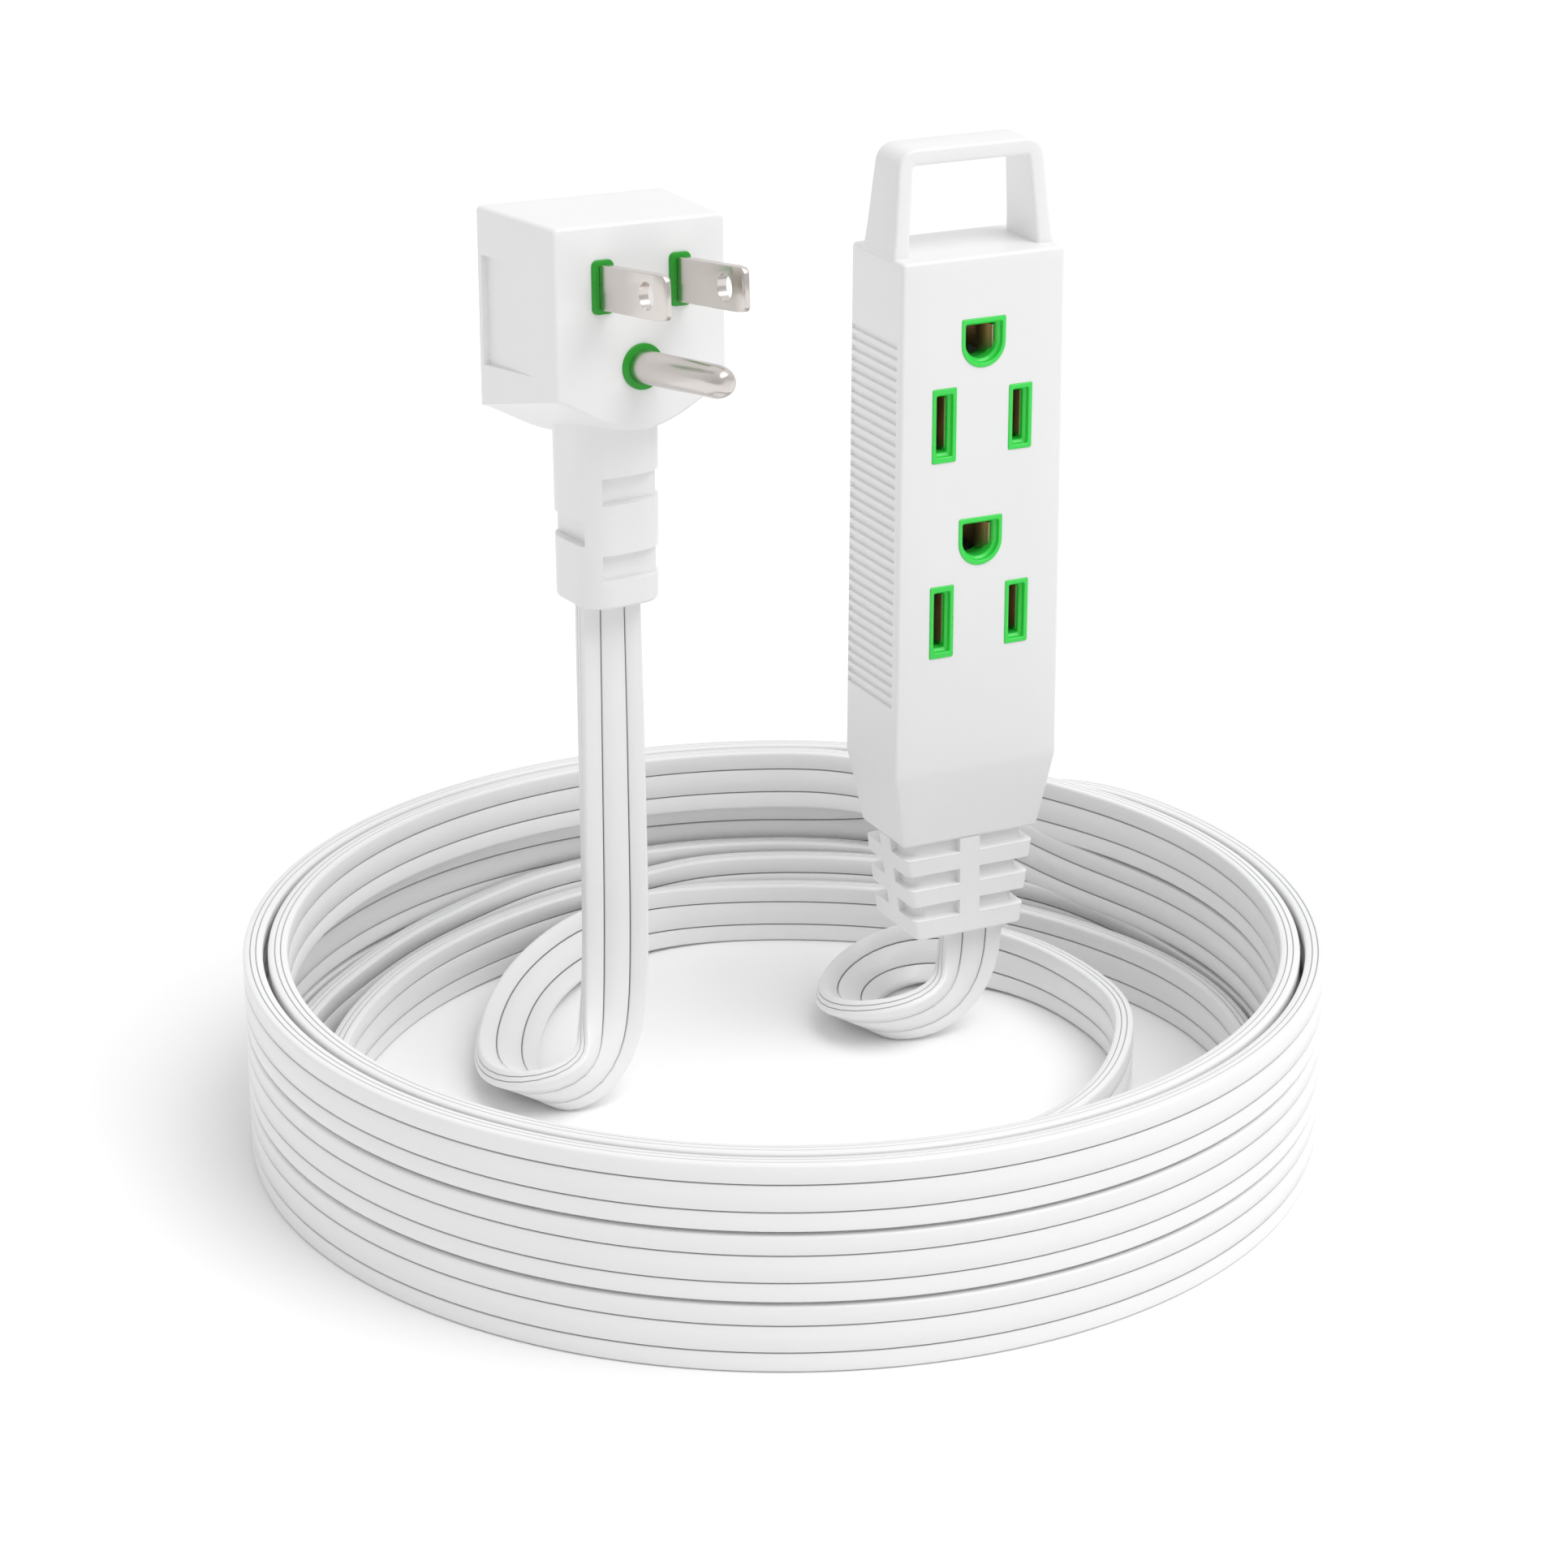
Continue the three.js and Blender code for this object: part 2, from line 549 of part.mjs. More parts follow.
function groundPin() {
	const nose = 2.6;
	const points = [new THREE.Vector2(0, PRONG.tail), new THREE.Vector2(PRONG.pinRadius, PRONG.tail)];
	for (let i = 0; i <= 5; i++) {
		const angle = (i / 5) * (Math.PI / 2);
		const y = -PRONG_REACH.pin + nose - nose * Math.sin(angle);
		points.push(new THREE.Vector2(i === 5 ? 0 : PRONG.pinRadius * Math.cos(angle), y));
	}
	return new THREE.LatheGeometry(points.reverse(), 20).translate(0, 0, -GROUND_OFFSET);
}

function plugCrimp(x, z) {
	return bar(CRIMP.radius, x, z, PRONG.tail + GAP, PRONG.tail + GAP + 3.6, 12);
}

// The front slots wrap the front and right faces, and the back slot the left and back ones.
function plugRelief() {
	const upper = { width: NECK.width, depth: NECK.width };
	const lower = { width: NECK.tipWidth, depth: NECK.tipWidth };
	const sleeve = toSolid(taperedColumn(lower, upper, NECK.corner, -NECK.length, 0));
	const { bite, reach } = NECK_SLOT;
	const slots = [[NECK_FRONT_SLOTS, [1, -1]], [NECK_BACK_SLOTS, [-1, 1]]].flatMap(([row, corner]) => (
		row.bottoms.flatMap((z) => (
			cornerSlots(NECK.width, NECK.width, -reach, -reach, bite, z, row.height, [corner])
		))
	));
	return cut(sleeve, slots);
}

// Cord. A station is the middle of the cord and the direction across its width towards the edge that
// ends up on top: [x, y, height, across x, across y, across z].

const PLUG_RUN = [
	[-54.9, 4.9, 77.5, -0.99, -0.12, 0],
	[-55.3, 3.5, 60, -1, 0, 0],
	[-55.8, 2, 42, -0.99, 0.1, 0],
	[-56.4, 0.5, 26, -0.98, 0.19, 0],
	[-57.2, -0.5, 15.5, -0.98, 0.2, 0.03],
	[-58.5, -1.8, 9.4, -0.93, 0.05, 0.32],
	[-60.9, -3.9, 6.3, -0.7, -0.3, 0.65],
	[-64.4, -6, 5, -0.45, -0.5, 0.74],
	[-68.4, -5.9, 4.3, -0.6, -0.55, 0.58],
	[-71.3, -3, 3.7, -0.82, -0.36, 0.44],
	[-72.4, 2.2, 3.2, -0.94, -0.1, 0.32],
	[-71.2, 9, 3, -0.95, 0.12, 0.27],
	[-68.2, 16.4, 2.9, -0.94, 0.26, 0.23],
	[-64.2, 24, 3, -0.88, 0.38, 0.28],
	[-59.6, 31, 3.4, -0.82, 0.4, 0.4],
	[-54.4, 36.8, 3.9, -0.72, 0.48, 0.5],
	[-48.6, 41.6, 4.4, -0.58, 0.46, 0.67],
	[-44.4, 44.4, 4.7, -0.45, 0.45, 0.77],
];

const SOCKET_RUN = [
	[2.7, -2.6, 18, -1, 0, 0],
	[2.8, -2.6, 15.2, -0.98, 0.16, 0],
	[2.9, -2.4, 11.4, -0.97, 0.2, 0.03],
	[2, -2.7, 8.8, -0.9, 0.1, 0.3],
	[0, -3.5, 6.7, -0.7, -0.2, 0.68],
	[-3.2, -4.7, 5.6, -0.4, -0.45, 0.8],
	[-7.2, -5.4, 5, -0.25, -0.55, 0.8],
	[-11.2, -4.8, 4.6, -0.5, -0.55, 0.66],
	[-14.4, -2.4, 4, -0.78, -0.4, 0.5],
	[-15.9, 1.4, 3.4, -0.93, -0.1, 0.36],
	[-15.4, 5.8, 3.1, -0.95, 0.15, 0.28],
	[-13.4, 10, 2.9, -0.92, 0.32, 0.23],
	[-10.2, 14, 3, -0.82, 0.5, 0.28],
	[-6.6, 16.9, 3.2, -0.7, 0.62, 0.36],
	[-2.6, 18.6, 3.9, -0.5, 0.7, 0.5],
	[1.6, 19, 4.4, -0.2, 0.7, 0.68],
	[6, 17.7, 4.9, 0.1, 0.45, 0.88],
	[10.6, 14.6, 5.1, 0.1, 0.18, 0.98],
	[14.8, 9.2, 5.1, 0.05, 0.05, 1],
	[18.1, 1.2, 5.1, 0, 0, 1],
	[19.4, -9.7, 5.1, 0, 0, 1],
	[18.6, -22.4, 5.1, 0, 0, 1],
	[12.8, -33.2, 5.1, 0, 0, 1],
	[3.8, -44.2, 5.1, 0, 0, 1],
	[-8.2, -52.8, 5.1, 0, 0, 1],
	[-22.8, -56.8, 5.1, 0, 0, 1],
	[-38.6, -55.2, 5.1, 0, 0, 1],
	[-52.6, -50.2, 5.1, 0, 0, 1],
	[-65.2, -44.4, 5.1, 0, 0, 1],
	[-75, -43.6, 5.1, 0, 0, 1],
	[-82.4, -50, 5.1, 0, 0, 1],
	[-83.2, -59.6, 5.1, 0, 0, 1],
	[-76.8, -67.4, 5.4, 0, 0, 1],
	[-64.4, -73.6, 7, 0, 0, 1],
	[-54, -77.4, 10.5, 0, 0, 1],
	[-43.6, -80.8, 14, 0, 0, 1],
	[-32.2, -83.8, 15.9, 0, 0, 1],
	[-20, -85.8, 16.1, 0, 0, 1],
	[-16.2, -85.7, 16.1, 0, 0, 1],
];

// A smooth curve through the stations that keeps the cord's flat side turned as each one says.
class RibbonCurve extends THREE.CatmullRomCurve3 {
	constructor(stations) {
		super(stations.map(([x, y, z]) => new THREE.Vector3(x, y, z)), false, 'centripetal');
		this.sides = stations.map((station) => new THREE.Vector3(...station.slice(3)));
	}

	computeFrenetFrames(segments) {
		const frames = { tangents: [], normals: [], binormals: [] };
		for (let i = 0; i <= segments; i++) {
			const t = this.getUtoTmapping(i / segments);
			const place = Math.min(t, 1) * (this.sides.length - 1);
			const index = Math.min(Math.floor(place), this.sides.length - 2);
			const tangent = this.getTangent(t);
			const side = this.sides[index].clone().lerp(this.sides[index + 1], place - index);
			side.addScaledVector(tangent, -side.dot(tangent)).normalize();
			frames.tangents.push(tangent);
			frames.normals.push(side);
			frames.binormals.push(new THREE.Vector3().crossVectors(tangent, side));
		}
		return frames;
	}
}

function cordSection() {
	const x = CORD.width / 2;
	const y = CORD.thickness / 2;
	const chamfer = 0.8;
	const outline = [
		[x, y - chamfer], [x - chamfer, y], [-x + chamfer, y], [-x, y - chamfer],
		[-x, -y + chamfer], [-x + chamfer, -y], [x - chamfer, -y], [x, -y + chamfer],
	];
	return new THREE.Shape(outline.map((point) => new THREE.Vector2(...point)));
}

function cordRun(stations, steps) {
	const extrudePath = new RibbonCurve(stations);
	return new THREE.ExtrudeGeometry(cordSection(), { steps, bevelEnabled: false, extrudePath });
}

// The outer shape of the coil: a wall three cord widths high with a low step of turns inside it.
function cordCoil() {
	const profile = [
		[COIL_STEP.inner, 0.02], [COIL.outer, 0.02], [COIL.outer, COIL.height], [COIL.wallInner, COIL.height],
		[COIL.wallInner, COIL_STEP.height], [COIL_STEP.inner, COIL_STEP.height], [COIL_STEP.inner, 0.02],
	];
	const ring = new THREE.LatheGeometry(profile.map((point) => new THREE.Vector2(...point)), 96);
	return ring.rotateX(Math.PI / 2).translate(COIL.x, COIL.y, 0);
}

// Assembly. Heights become Z once the whole group is lowered to hang from the origin.

const group = new THREE.Group();
const standing = new THREE.Group();
standing.position.z = -HOOK_HEIGHT;
group.add(standing);

addPart(standing, 'front_cover', frontCover(), WHITE);
addPart(standing, 'rear_cover', rearCover(), WHITE);
addPart(standing, 'hang_handle', hangHandle(), WHITE);
addPart(standing, 'contact_carrier', contactCarrier(), GREEN);

const halfSpacing = BLADE_SPACING / 2;
const groundCentres = SLOT_HEIGHTS.map((height) => height + GROUND_OFFSET);
const CONDUCTORS = [
	{ name: 'neutral', side: -1, y: LIVE_BUS_Y, centres: SLOT_HEIGHTS, halfGap: 1.1, leaf: BUS.leafHeight },
	{ name: 'line', side: 1, y: LIVE_BUS_Y, centres: SLOT_HEIGHTS, halfGap: 1.1, leaf: BUS.leafHeight },
	{ name: 'ground', side: 0, y: GROUND_BUS_Y, centres: groundCentres, halfGap: 2.8, leaf: 3.6 },
];
for (const { name, side, y, centres, halfGap, leaf } of CONDUCTORS) {
	const x = side * halfSpacing;
	const top = centres[0] + leaf / 2;
	addPart(standing, `${name}_bus_bar`, busBar(x, y, top, centres, halfGap, leaf), BRASS);
	addPart(standing, `${name}_crimp`, crimp(x, y, BUS.bottom - GAP), BRASS);
	addPart(standing, `${name}_lead`, innerLead(x, y, side), INSULATION[name]);
}

addPart(standing, 'cord_clamp', cordClamp(), WHITE);
[-1, 1].forEach((side, index) => {
	addPart(standing, `clamp_screw_${index + 1}`, clampScrew(side), STEEL);
});
screwPlaces().forEach(([x, z], index) => {
	addPart(standing, `cover_screw_${index + 1}`, coverScrew(x, z), STEEL);
});
addPart(standing, 'block_strain_relief', blockRelief(), WHITE);

const plug = new THREE.Group();
plug.applyMatrix4(plugFrame);
const neck = new THREE.Group();
neck.applyMatrix4(neckFrame);
standing.add(plug, neck);

addPart(plug, 'plug_body', plugBody(), WHITE);
addPart(plug, 'blade_bridge', bladeBridge(), GREEN);
addPart(plug, 'neutral_blade', blade(-1), NICKEL);
addPart(plug, 'line_blade', blade(1), NICKEL);
addPart(plug, 'ground_pin', groundPin(), NICKEL);
addPart(plug, 'plug_neutral_crimp', plugCrimp(-halfSpacing, 0), BRASS);
addPart(plug, 'plug_line_crimp', plugCrimp(halfSpacing, 0), BRASS);
addPart(plug, 'plug_ground_crimp', plugCrimp(0, -GROUND_OFFSET), BRASS);
addPart(neck, 'plug_strain_relief', plugRelief(), WHITE);

addPart(standing, 'cord_plug_run', cordRun(PLUG_RUN, 32), CORD_WHITE);
addPart(standing, 'cord_coil', cordCoil(), CORD_WHITE);
addPart(standing, 'cord_socket_run', cordRun(SOCKET_RUN, 48), CORD_WHITE);

export default group;
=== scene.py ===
import math

import bmesh
import bpy
from mathutils import Matrix, Vector


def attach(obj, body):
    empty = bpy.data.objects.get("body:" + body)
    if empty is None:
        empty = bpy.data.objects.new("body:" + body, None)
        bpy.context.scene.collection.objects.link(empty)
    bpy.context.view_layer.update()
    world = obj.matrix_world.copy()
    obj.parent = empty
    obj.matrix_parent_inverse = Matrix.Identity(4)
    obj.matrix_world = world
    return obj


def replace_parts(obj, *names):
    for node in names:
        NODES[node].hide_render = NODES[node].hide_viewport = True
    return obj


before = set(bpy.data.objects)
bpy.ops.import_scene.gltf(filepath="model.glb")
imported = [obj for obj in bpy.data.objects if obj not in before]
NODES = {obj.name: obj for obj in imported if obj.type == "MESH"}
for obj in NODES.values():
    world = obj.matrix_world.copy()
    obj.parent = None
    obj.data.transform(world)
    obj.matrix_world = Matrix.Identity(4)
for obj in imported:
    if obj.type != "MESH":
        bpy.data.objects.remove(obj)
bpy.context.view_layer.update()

# Lengths below are in millimetres and heights are above the standing surface, as in the part's source.
# place() turns them into metres in the shared frame, whose origin is the hook point.

HOOK_HEIGHT = 139.0


def place(x, y, height):
    return Vector((x, y, height - HOOK_HEIGHT)) * 0.001


# ---------------------------------------------------------------- camera

VIEW_TURN = math.radians(25.89)
VIEW_TILT = math.radians(69)

scene = bpy.context.scene
camera_data = bpy.data.cameras.new("camera")
camera_data.sensor_width = 36
camera_data.lens = 93.17
camera_data.clip_start = 0.01
camera = bpy.data.objects.new("camera", camera_data)
camera.location = (-0.2787, -0.5155, 0.1265)
camera.rotation_euler = (VIEW_TILT, 0, -VIEW_TURN)
scene.collection.objects.link(camera)
scene.camera = camera

# ---------------------------------------------------------------- small helpers


def add_object(name, mesh, material, sharp):
    """A finished piece that rides on the part's one body; edges steeper than sharp stay crisp."""
    obj = bpy.data.objects.new(name, mesh)
    scene.collection.objects.link(obj)
    mesh.materials.clear()
    mesh.materials.append(material)
    mesh.shade_smooth()
    mesh.set_sharp_from_angle(angle=math.radians(sharp))
    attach(obj, "root")
    return obj


def mesh_from(name, points, faces):
    """A mesh from points in millimetres and heights."""
    mesh = bpy.data.meshes.new(name)
    mesh.from_pydata([place(*p) for p in points], [], faces)
    mesh.update()
    return mesh


def ring_faces(count, rings, closed_loop):
    """Quads between rings of the same number of points, with open ends filled."""
    faces = []
    spans = rings if closed_loop else rings - 1
    for r in range(spans):
        a = r * count
        b = ((r + 1) % rings) * count
        for i in range(count):
            j = (i + 1) % count
            faces.append((a + i, a + j, b + j, b + i))
    if not closed_loop:
        faces.append(tuple(range(count - 1, -1, -1)))
        last = (rings - 1) * count
        faces.append(tuple(range(last, last + count)))
    return faces


def turned_out(mesh):
    """Faces made to point outwards."""
    bm = bmesh.new()
    bm.from_mesh(mesh)
    bmesh.ops.recalc_face_normals(bm, faces=bm.faces)
    bm.to_mesh(mesh)
    bm.free()
    return mesh


def loft(name, rings, closed_loop=False):
    """A skin over rings of points; a closed loop joins the last ring to the first."""
    points = [p for ring in rings for p in ring]
    faces = ring_faces(len(rings[0]), len(rings), closed_loop)
    return turned_out(mesh_from(name, points, faces))


def moved(mesh, matrix):
    mesh.transform(matrix)
    return mesh


def joined(name, meshes):
    """One mesh that holds several."""
    points, faces = [], []
    for mesh in meshes:
        start = len(points)
        points += [v.co.copy() for v in mesh.vertices]
        faces += [tuple(start + i for i in p.vertices) for p in mesh.polygons]
    whole = bpy.data.meshes.new(name)
    whole.from_pydata(points, [], faces)
    whole.update()
    return whole


def cut(mesh, tools):
    """The mesh with each tool mesh taken away from it."""
    for tool in tools:
        base = bpy.data.objects.new("cut_base", mesh)
        other = bpy.data.objects.new("cut_tool", tool)
        scene.collection.objects.link(base)
        scene.collection.objects.link(other)
        modifier = base.modifiers.new("cut", "BOOLEAN")
        modifier.object = other
        modifier.operation = "DIFFERENCE"
        modifier.solver = "EXACT"
        done = base.evaluated_get(bpy.context.evaluated_depsgraph_get())
        mesh = bpy.data.meshes.new_from_object(done)
        bpy.data.objects.remove(base)
        bpy.data.objects.remove(other)
    return mesh


def extruded(outline, z0, z1):
    """A closed outline in plan, drawn upwards."""
    return loft("upright", [[(x, y, z) for x, y in outline] for z in (z0, z1)])


def prism(outline, y0, y1):
    """A closed outline on the face, drawn backwards."""
    return loft("prism", [[(x, y, z) for x, z in outline] for y in (y0, y1)])


def block_mesh(x0, x1, y0, y1, z0, z1):
    return extruded([(x0, y0), (x1, y0), (x1, y1), (x0, y1)], z0, z1)


def bevelled(obj, width):
    modifier = obj.modifiers.new("soft_edges", "BEVEL")
    modifier.width = width * 0.001
    modifier.segments = 2
    modifier.limit_method = "ANGLE"
    modifier.angle_limit = math.radians(32)
    modifier.harden_normals = True
    modifier.use_clamp_overlap = True


def arc(x, y, radius, start, sweep, steps):
    """Points along a part of a circle, with its angles in degrees."""
    angles = [math.radians(start + sweep * i / steps) for i in range(steps + 1)]
    return [(x + radius * math.cos(a), y + radius * math.sin(a)) for a in angles]


def circle(radius, steps, x=0.0, y=0.0):
    return arc(x, y, radius, 0, 360, steps)[:-1]


def rounded_rectangle(width, height, radius, steps, x=0.0, y=0.0):
    points = []
    for sx, sy, start in ((1, 1, 0), (-1, 1, 90), (-1, -1, 180), (1, -1, 270)):
        corner_x = x + sx * (width / 2 - radius)
        corner_y = y + sy * (height / 2 - radius)
        points += arc(corner_x, corner_y, radius, start, 90, steps)
    return points


def mix(a, b, share):
    return a + (b - a) * share


def smooth(share):
    share = min(max(share, 0.0), 1.0)
    return share * share * (3 - 2 * share)


# ---------------------------------------------------------------- materials


def new_material(name):
    material = bpy.data.materials.new(name)
    material.use_nodes = True
    tree = material.node_tree
    return material, tree, tree.nodes["Principled BSDF"]


def noise(tree, scale, detail=3.0, stretch=None):
    coordinates = tree.nodes.new("ShaderNodeTexCoord")
    source = coordinates.outputs["Object"]
    if stretch:
        mapping = tree.nodes.new("ShaderNodeMapping")
        mapping.inputs["Scale"].default_value = stretch
        tree.links.new(source, mapping.inputs["Vector"])
        source = mapping.outputs["Vector"]
    texture = tree.nodes.new("ShaderNodeTexNoise")
    texture.inputs["Scale"].default_value = scale
    texture.inputs["Detail"].default_value = detail
    tree.links.new(source, texture.inputs["Vector"])
    return texture.outputs["Fac"]


def ranged(tree, value, low, high, start=0.3, end=0.7, ease="LINEAR"):
    """A value between start and end, spread from low to high."""
    node = tree.nodes.new("ShaderNodeMapRange")
    node.interpolation_type = ease
    node.inputs["From Min"].default_value = start
    node.inputs["From Max"].default_value = end
    node.inputs["To Min"].default_value = low
    node.inputs["To Max"].default_value = high
    tree.links.new(value, node.inputs["Value"])
    return node.outputs["Result"]


def blended(tree, share, first, second):
    """A colour between two, which are colours or sockets."""
    node = tree.nodes.new("ShaderNodeMix")
    node.data_type = "RGBA"
    tree.links.new(share, node.inputs["Factor"])
    for key, value in (("A", first), ("B", second)):
        socket = [s for s in node.inputs if s.name == key and s.type == "RGBA"][0]
        if hasattr(value, "is_output"):
            tree.links.new(value, socket)
        else:
            socket.default_value = (*value, 1)
    return [s for s in node.outputs if s.type == "RGBA"][0]


def bump(tree, shader, height, strength, distance):
    node = tree.nodes.new("ShaderNodeBump")
    node.inputs["Strength"].default_value = strength
    node.inputs["Distance"].default_value = distance
    tree.links.new(height, node.inputs["Height"])
    tree.links.new(node.outputs["Normal"], shader.inputs["Normal"])


def moulded(name, light, dark, rough, grain=1400.0, painted_groove_shade=None):
    """Moulded plastic: faint colour drift, uneven gloss and a fine spark-eroded grain, and painted shade
    mixed into the grooves when a shade colour is given.
    """
    material, tree, shader = new_material(name)
    colour = blended(tree, ranged(tree, noise(tree, 45.0), 0.0, 1.0), light, dark)
    # Painted shade: the shade colour is mixed in by the mesh attribute that marks the bottoms of grooves
    # and seams.
    if painted_groove_shade:
        attribute = tree.nodes.new("ShaderNodeAttribute")
        attribute.attribute_name = "painted_groove_shade"
        colour = blended(tree, attribute.outputs["Fac"], colour, painted_groove_shade)
    tree.links.new(colour, shader.inputs["Base Color"])
    tree.links.new(ranged(tree, noise(tree, 160.0), *rough), shader.inputs["Roughness"])
    bump(tree, shader, noise(tree, grain, 4.0), 0.12, 0.00006)
    return material


def metal(name, light, dark, rough, stretch):
    """Plated or drawn metal with fine marks along its length."""
    material, tree, shader = new_material(name)
    shader.inputs["Metallic"].default_value = 1.0
    colour = blended(tree, ranged(tree, noise(tree, 120.0), 0.0, 1.0), light, dark)
    tree.links.new(colour, shader.inputs["Base Color"])
    marks = noise(tree, 300.0, 5.0, stretch)
    tree.links.new(ranged(tree, marks, *rough), shader.inputs["Roughness"])
    bump(tree, shader, marks, 0.1, 0.00003)
    return material


WHITE = moulded("white_housing", (0.88, 0.88, 0.88), (0.866, 0.866, 0.87), (0.32, 0.4))
# White cord; its last colour, (0.25, 0.25, 0.255), is the painted shade laid into its grooves and seams.
CORD_WHITE = moulded(
    "white_cord", (0.885, 0.885, 0.885), (0.872, 0.872, 0.875), (0.29, 0.36), 900.0, (0.25, 0.25, 0.255)
)
GREEN = moulded("green_rim", (0.045, 0.76, 0.09), (0.035, 0.69, 0.075), (0.22, 0.32))
DARK_GREEN = moulded("green_collar", (0.011, 0.35, 0.014), (0.009, 0.3, 0.012), (0.24, 0.36))
NICKEL = metal("nickel", (0.725, 0.68, 0.65), (0.68, 0.635, 0.605), (0.2, 0.27), (1, 0.08, 1))
BRASS = metal("contact_brass", (0.86, 0.63, 0.47), (0.7, 0.5, 0.36), (0.28, 0.45), (1, 1, 0.1))
STEEL = metal("screw_steel", (0.6, 0.6, 0.61), (0.5, 0.5, 0.51), (0.25, 0.4), (1, 1, 1))
BLACK_WIRE = moulded("black_insulation", (0.02, 0.02, 0.02), (0.03, 0.03, 0.03), (0.4, 0.55))
WHITE_WIRE = moulded("white_insulation", (0.75, 0.75, 0.72), (0.68, 0.68, 0.65), (0.4, 0.55))
GREEN_WIRE = moulded("green_insulation", (0.02, 0.22, 0.05), (0.015, 0.18, 0.04), (0.4, 0.55))

# ---------------------------------------------------------------- cord

CORD_WIDTH = 9.8
CORD_THICKNESS = 2.9
CORD_CORNER = 0.5
CORD_STEP = 2.3
SPLINE_STEP = 0.6
POINT_PASSES = 10
SIDE_PASSES = 20
FLOOR_CLEARANCE = 0.03

# Grooves between the wires on the flats, and faint seams on the narrow edges, with painted shade in their
# bottoms. Each profile is a list of (place across, depth, how much painted shade), and PLACES says where
# the middles of its copies lie.
GROOVE_PLACES = (-2.0, 2.0)
GROOVE = [(-0.22, 0, 0), (-0.1, 0.1, 0.2), (-0.04, 0.36, 1), (0.04, 0.36, 1), (0.1, 0.1, 0.2), (0.22, 0, 0)]
SEAM_PLACES = (-0.42, 0.42)
SEAM = [(-0.12, 0, 0), (0, 0.16, 0.75), (0.12, 0, 0)]

# Stations are [x, y, height, and the direction across the width to the edge that ends on top].
PLUG_RUN = [
    [-54.9, 4.9, 77.5, -0.99, -0.12, 0],
    [-55.3, 3.5, 60, -1, 0, 0],
    [-55.8, 2, 42, -0.99, 0.1, 0],
    [-56.4, 0.5, 26, -0.98, 0.19, 0],
    [-57.2, -0.5, 15.5, -0.98, 0.2, 0.03],
    [-58.5, -1.8, 9.4, -0.93, 0.05, 0.32],
    [-60.9, -3.9, 6.3, -0.7, -0.3, 0.65],
    [-64.4, -6, 5, -0.45, -0.5, 0.74],
    [-68.4, -5.9, 4.3, -0.6, -0.55, 0.58],
    [-71.3, -3, 3.7, -0.82, -0.36, 0.44],
    [-72.4, 2.2, 3.2, -0.94, -0.1, 0.32],
    [-71.2, 9, 3, -0.95, 0.12, 0.27],
    [-68.2, 16.4, 2.9, -0.94, 0.26, 0.23],
    [-64.2, 24, 3, -0.88, 0.38, 0.28],
    [-59.6, 31, 3.4, -0.82, 0.4, 0.4],
    [-54.4, 36.8, 3.9, -0.72, 0.48, 0.5],
    [-48.6, 41.6, 4.4, -0.58, 0.46, 0.67],
    [-44.4, 44.4, 4.7, -0.45, 0.45, 0.77],
]

# From the plug's run into the innermost turn of the coil.
JOIN_RUN = [
    [-38.4, 47.4, 4.8, -0.3, 0.36, 0.88],
    [-31.2, 48.6, 5, -0.08, 0.2, 0.97],
]

SOCKET_RUN = [
    [2.7, -2.6, 18, -1, 0, 0],
    [2.8, -2.6, 15.2, -0.98, 0.16, 0],
    [2.9, -2.4, 11.4, -0.97, 0.2, 0.03],
    [2, -2.7, 8.8, -0.9, 0.1, 0.3],
    [0, -3.5, 6.7, -0.7, -0.2, 0.68],
    [-3.2, -4.7, 5.6, -0.4, -0.45, 0.8],
    [-7.2, -5.4, 5, -0.25, -0.55, 0.8],
    [-11.2, -4.8, 4.6, -0.5, -0.55, 0.66],
    [-14.4, -2.4, 4, -0.78, -0.4, 0.5],
    [-15.9, 1.4, 3.4, -0.93, -0.1, 0.36],
    [-15.4, 5.8, 3.1, -0.95, 0.15, 0.28],
    [-13.4, 10, 2.9, -0.92, 0.32, 0.23],
    [-10.2, 14, 3, -0.82, 0.5, 0.28],
    [-6.6, 16.9, 3.2, -0.7, 0.62, 0.36],
    [-2.6, 18.6, 3.9, -0.5, 0.7, 0.5],
    [1.6, 19, 4.4, -0.2, 0.7, 0.68],
    [6, 17.7, 4.9, 0.1, 0.45, 0.88],
    [10.6, 14.6, 5.1, 0.1, 0.18, 0.98],
    [14.8, 9.2, 5.1, 0.05, 0.05, 1],
    [18.1, 1.2, 5.1, 0, 0, 1],
    [19.4, -9.7, 5.1, 0, 0, 1],
    [18.6, -22.4, 5.1, 0, 0, 1],
    [12.8, -33.2, 5.1, 0, 0, 1],
    [3.8, -44.2, 5.1, 0, 0, 1],
    [-8.2, -52.8, 5.1, 0, 0, 1],
    [-22.8, -56.8, 5.1, 0, 0, 1],
    [-38.6, -55.2, 5.1, 0, 0, 1],
    [-52.6, -50.2, 5.1, 0, 0, 1],
    [-65.2, -44.4, 5.1, 0, 0, 1],
    [-75, -43.6, 5.1, 0, 0, 1],
    [-82.4, -50, 5.1, 0, 0, 1],
    [-83.2, -59.6, 5.1, 0, 0, 1],
    [-76.8, -67.4, 5.4, 0, 0, 1],
    [-64.4, -73.6, 7, 0, 0, 1],
    [-54, -77.4, 10.5, 0, 0, 1],
    [-43.6, -80.8, 14, 0, 0, 1],
    [-32.2, -83.8, 15.9, 0, 0, 1],
    [-20, -85.8, 16.1, 0, 0, 1],
    [-16.2, -85.7, 16.1, 0, 0, 1],
]

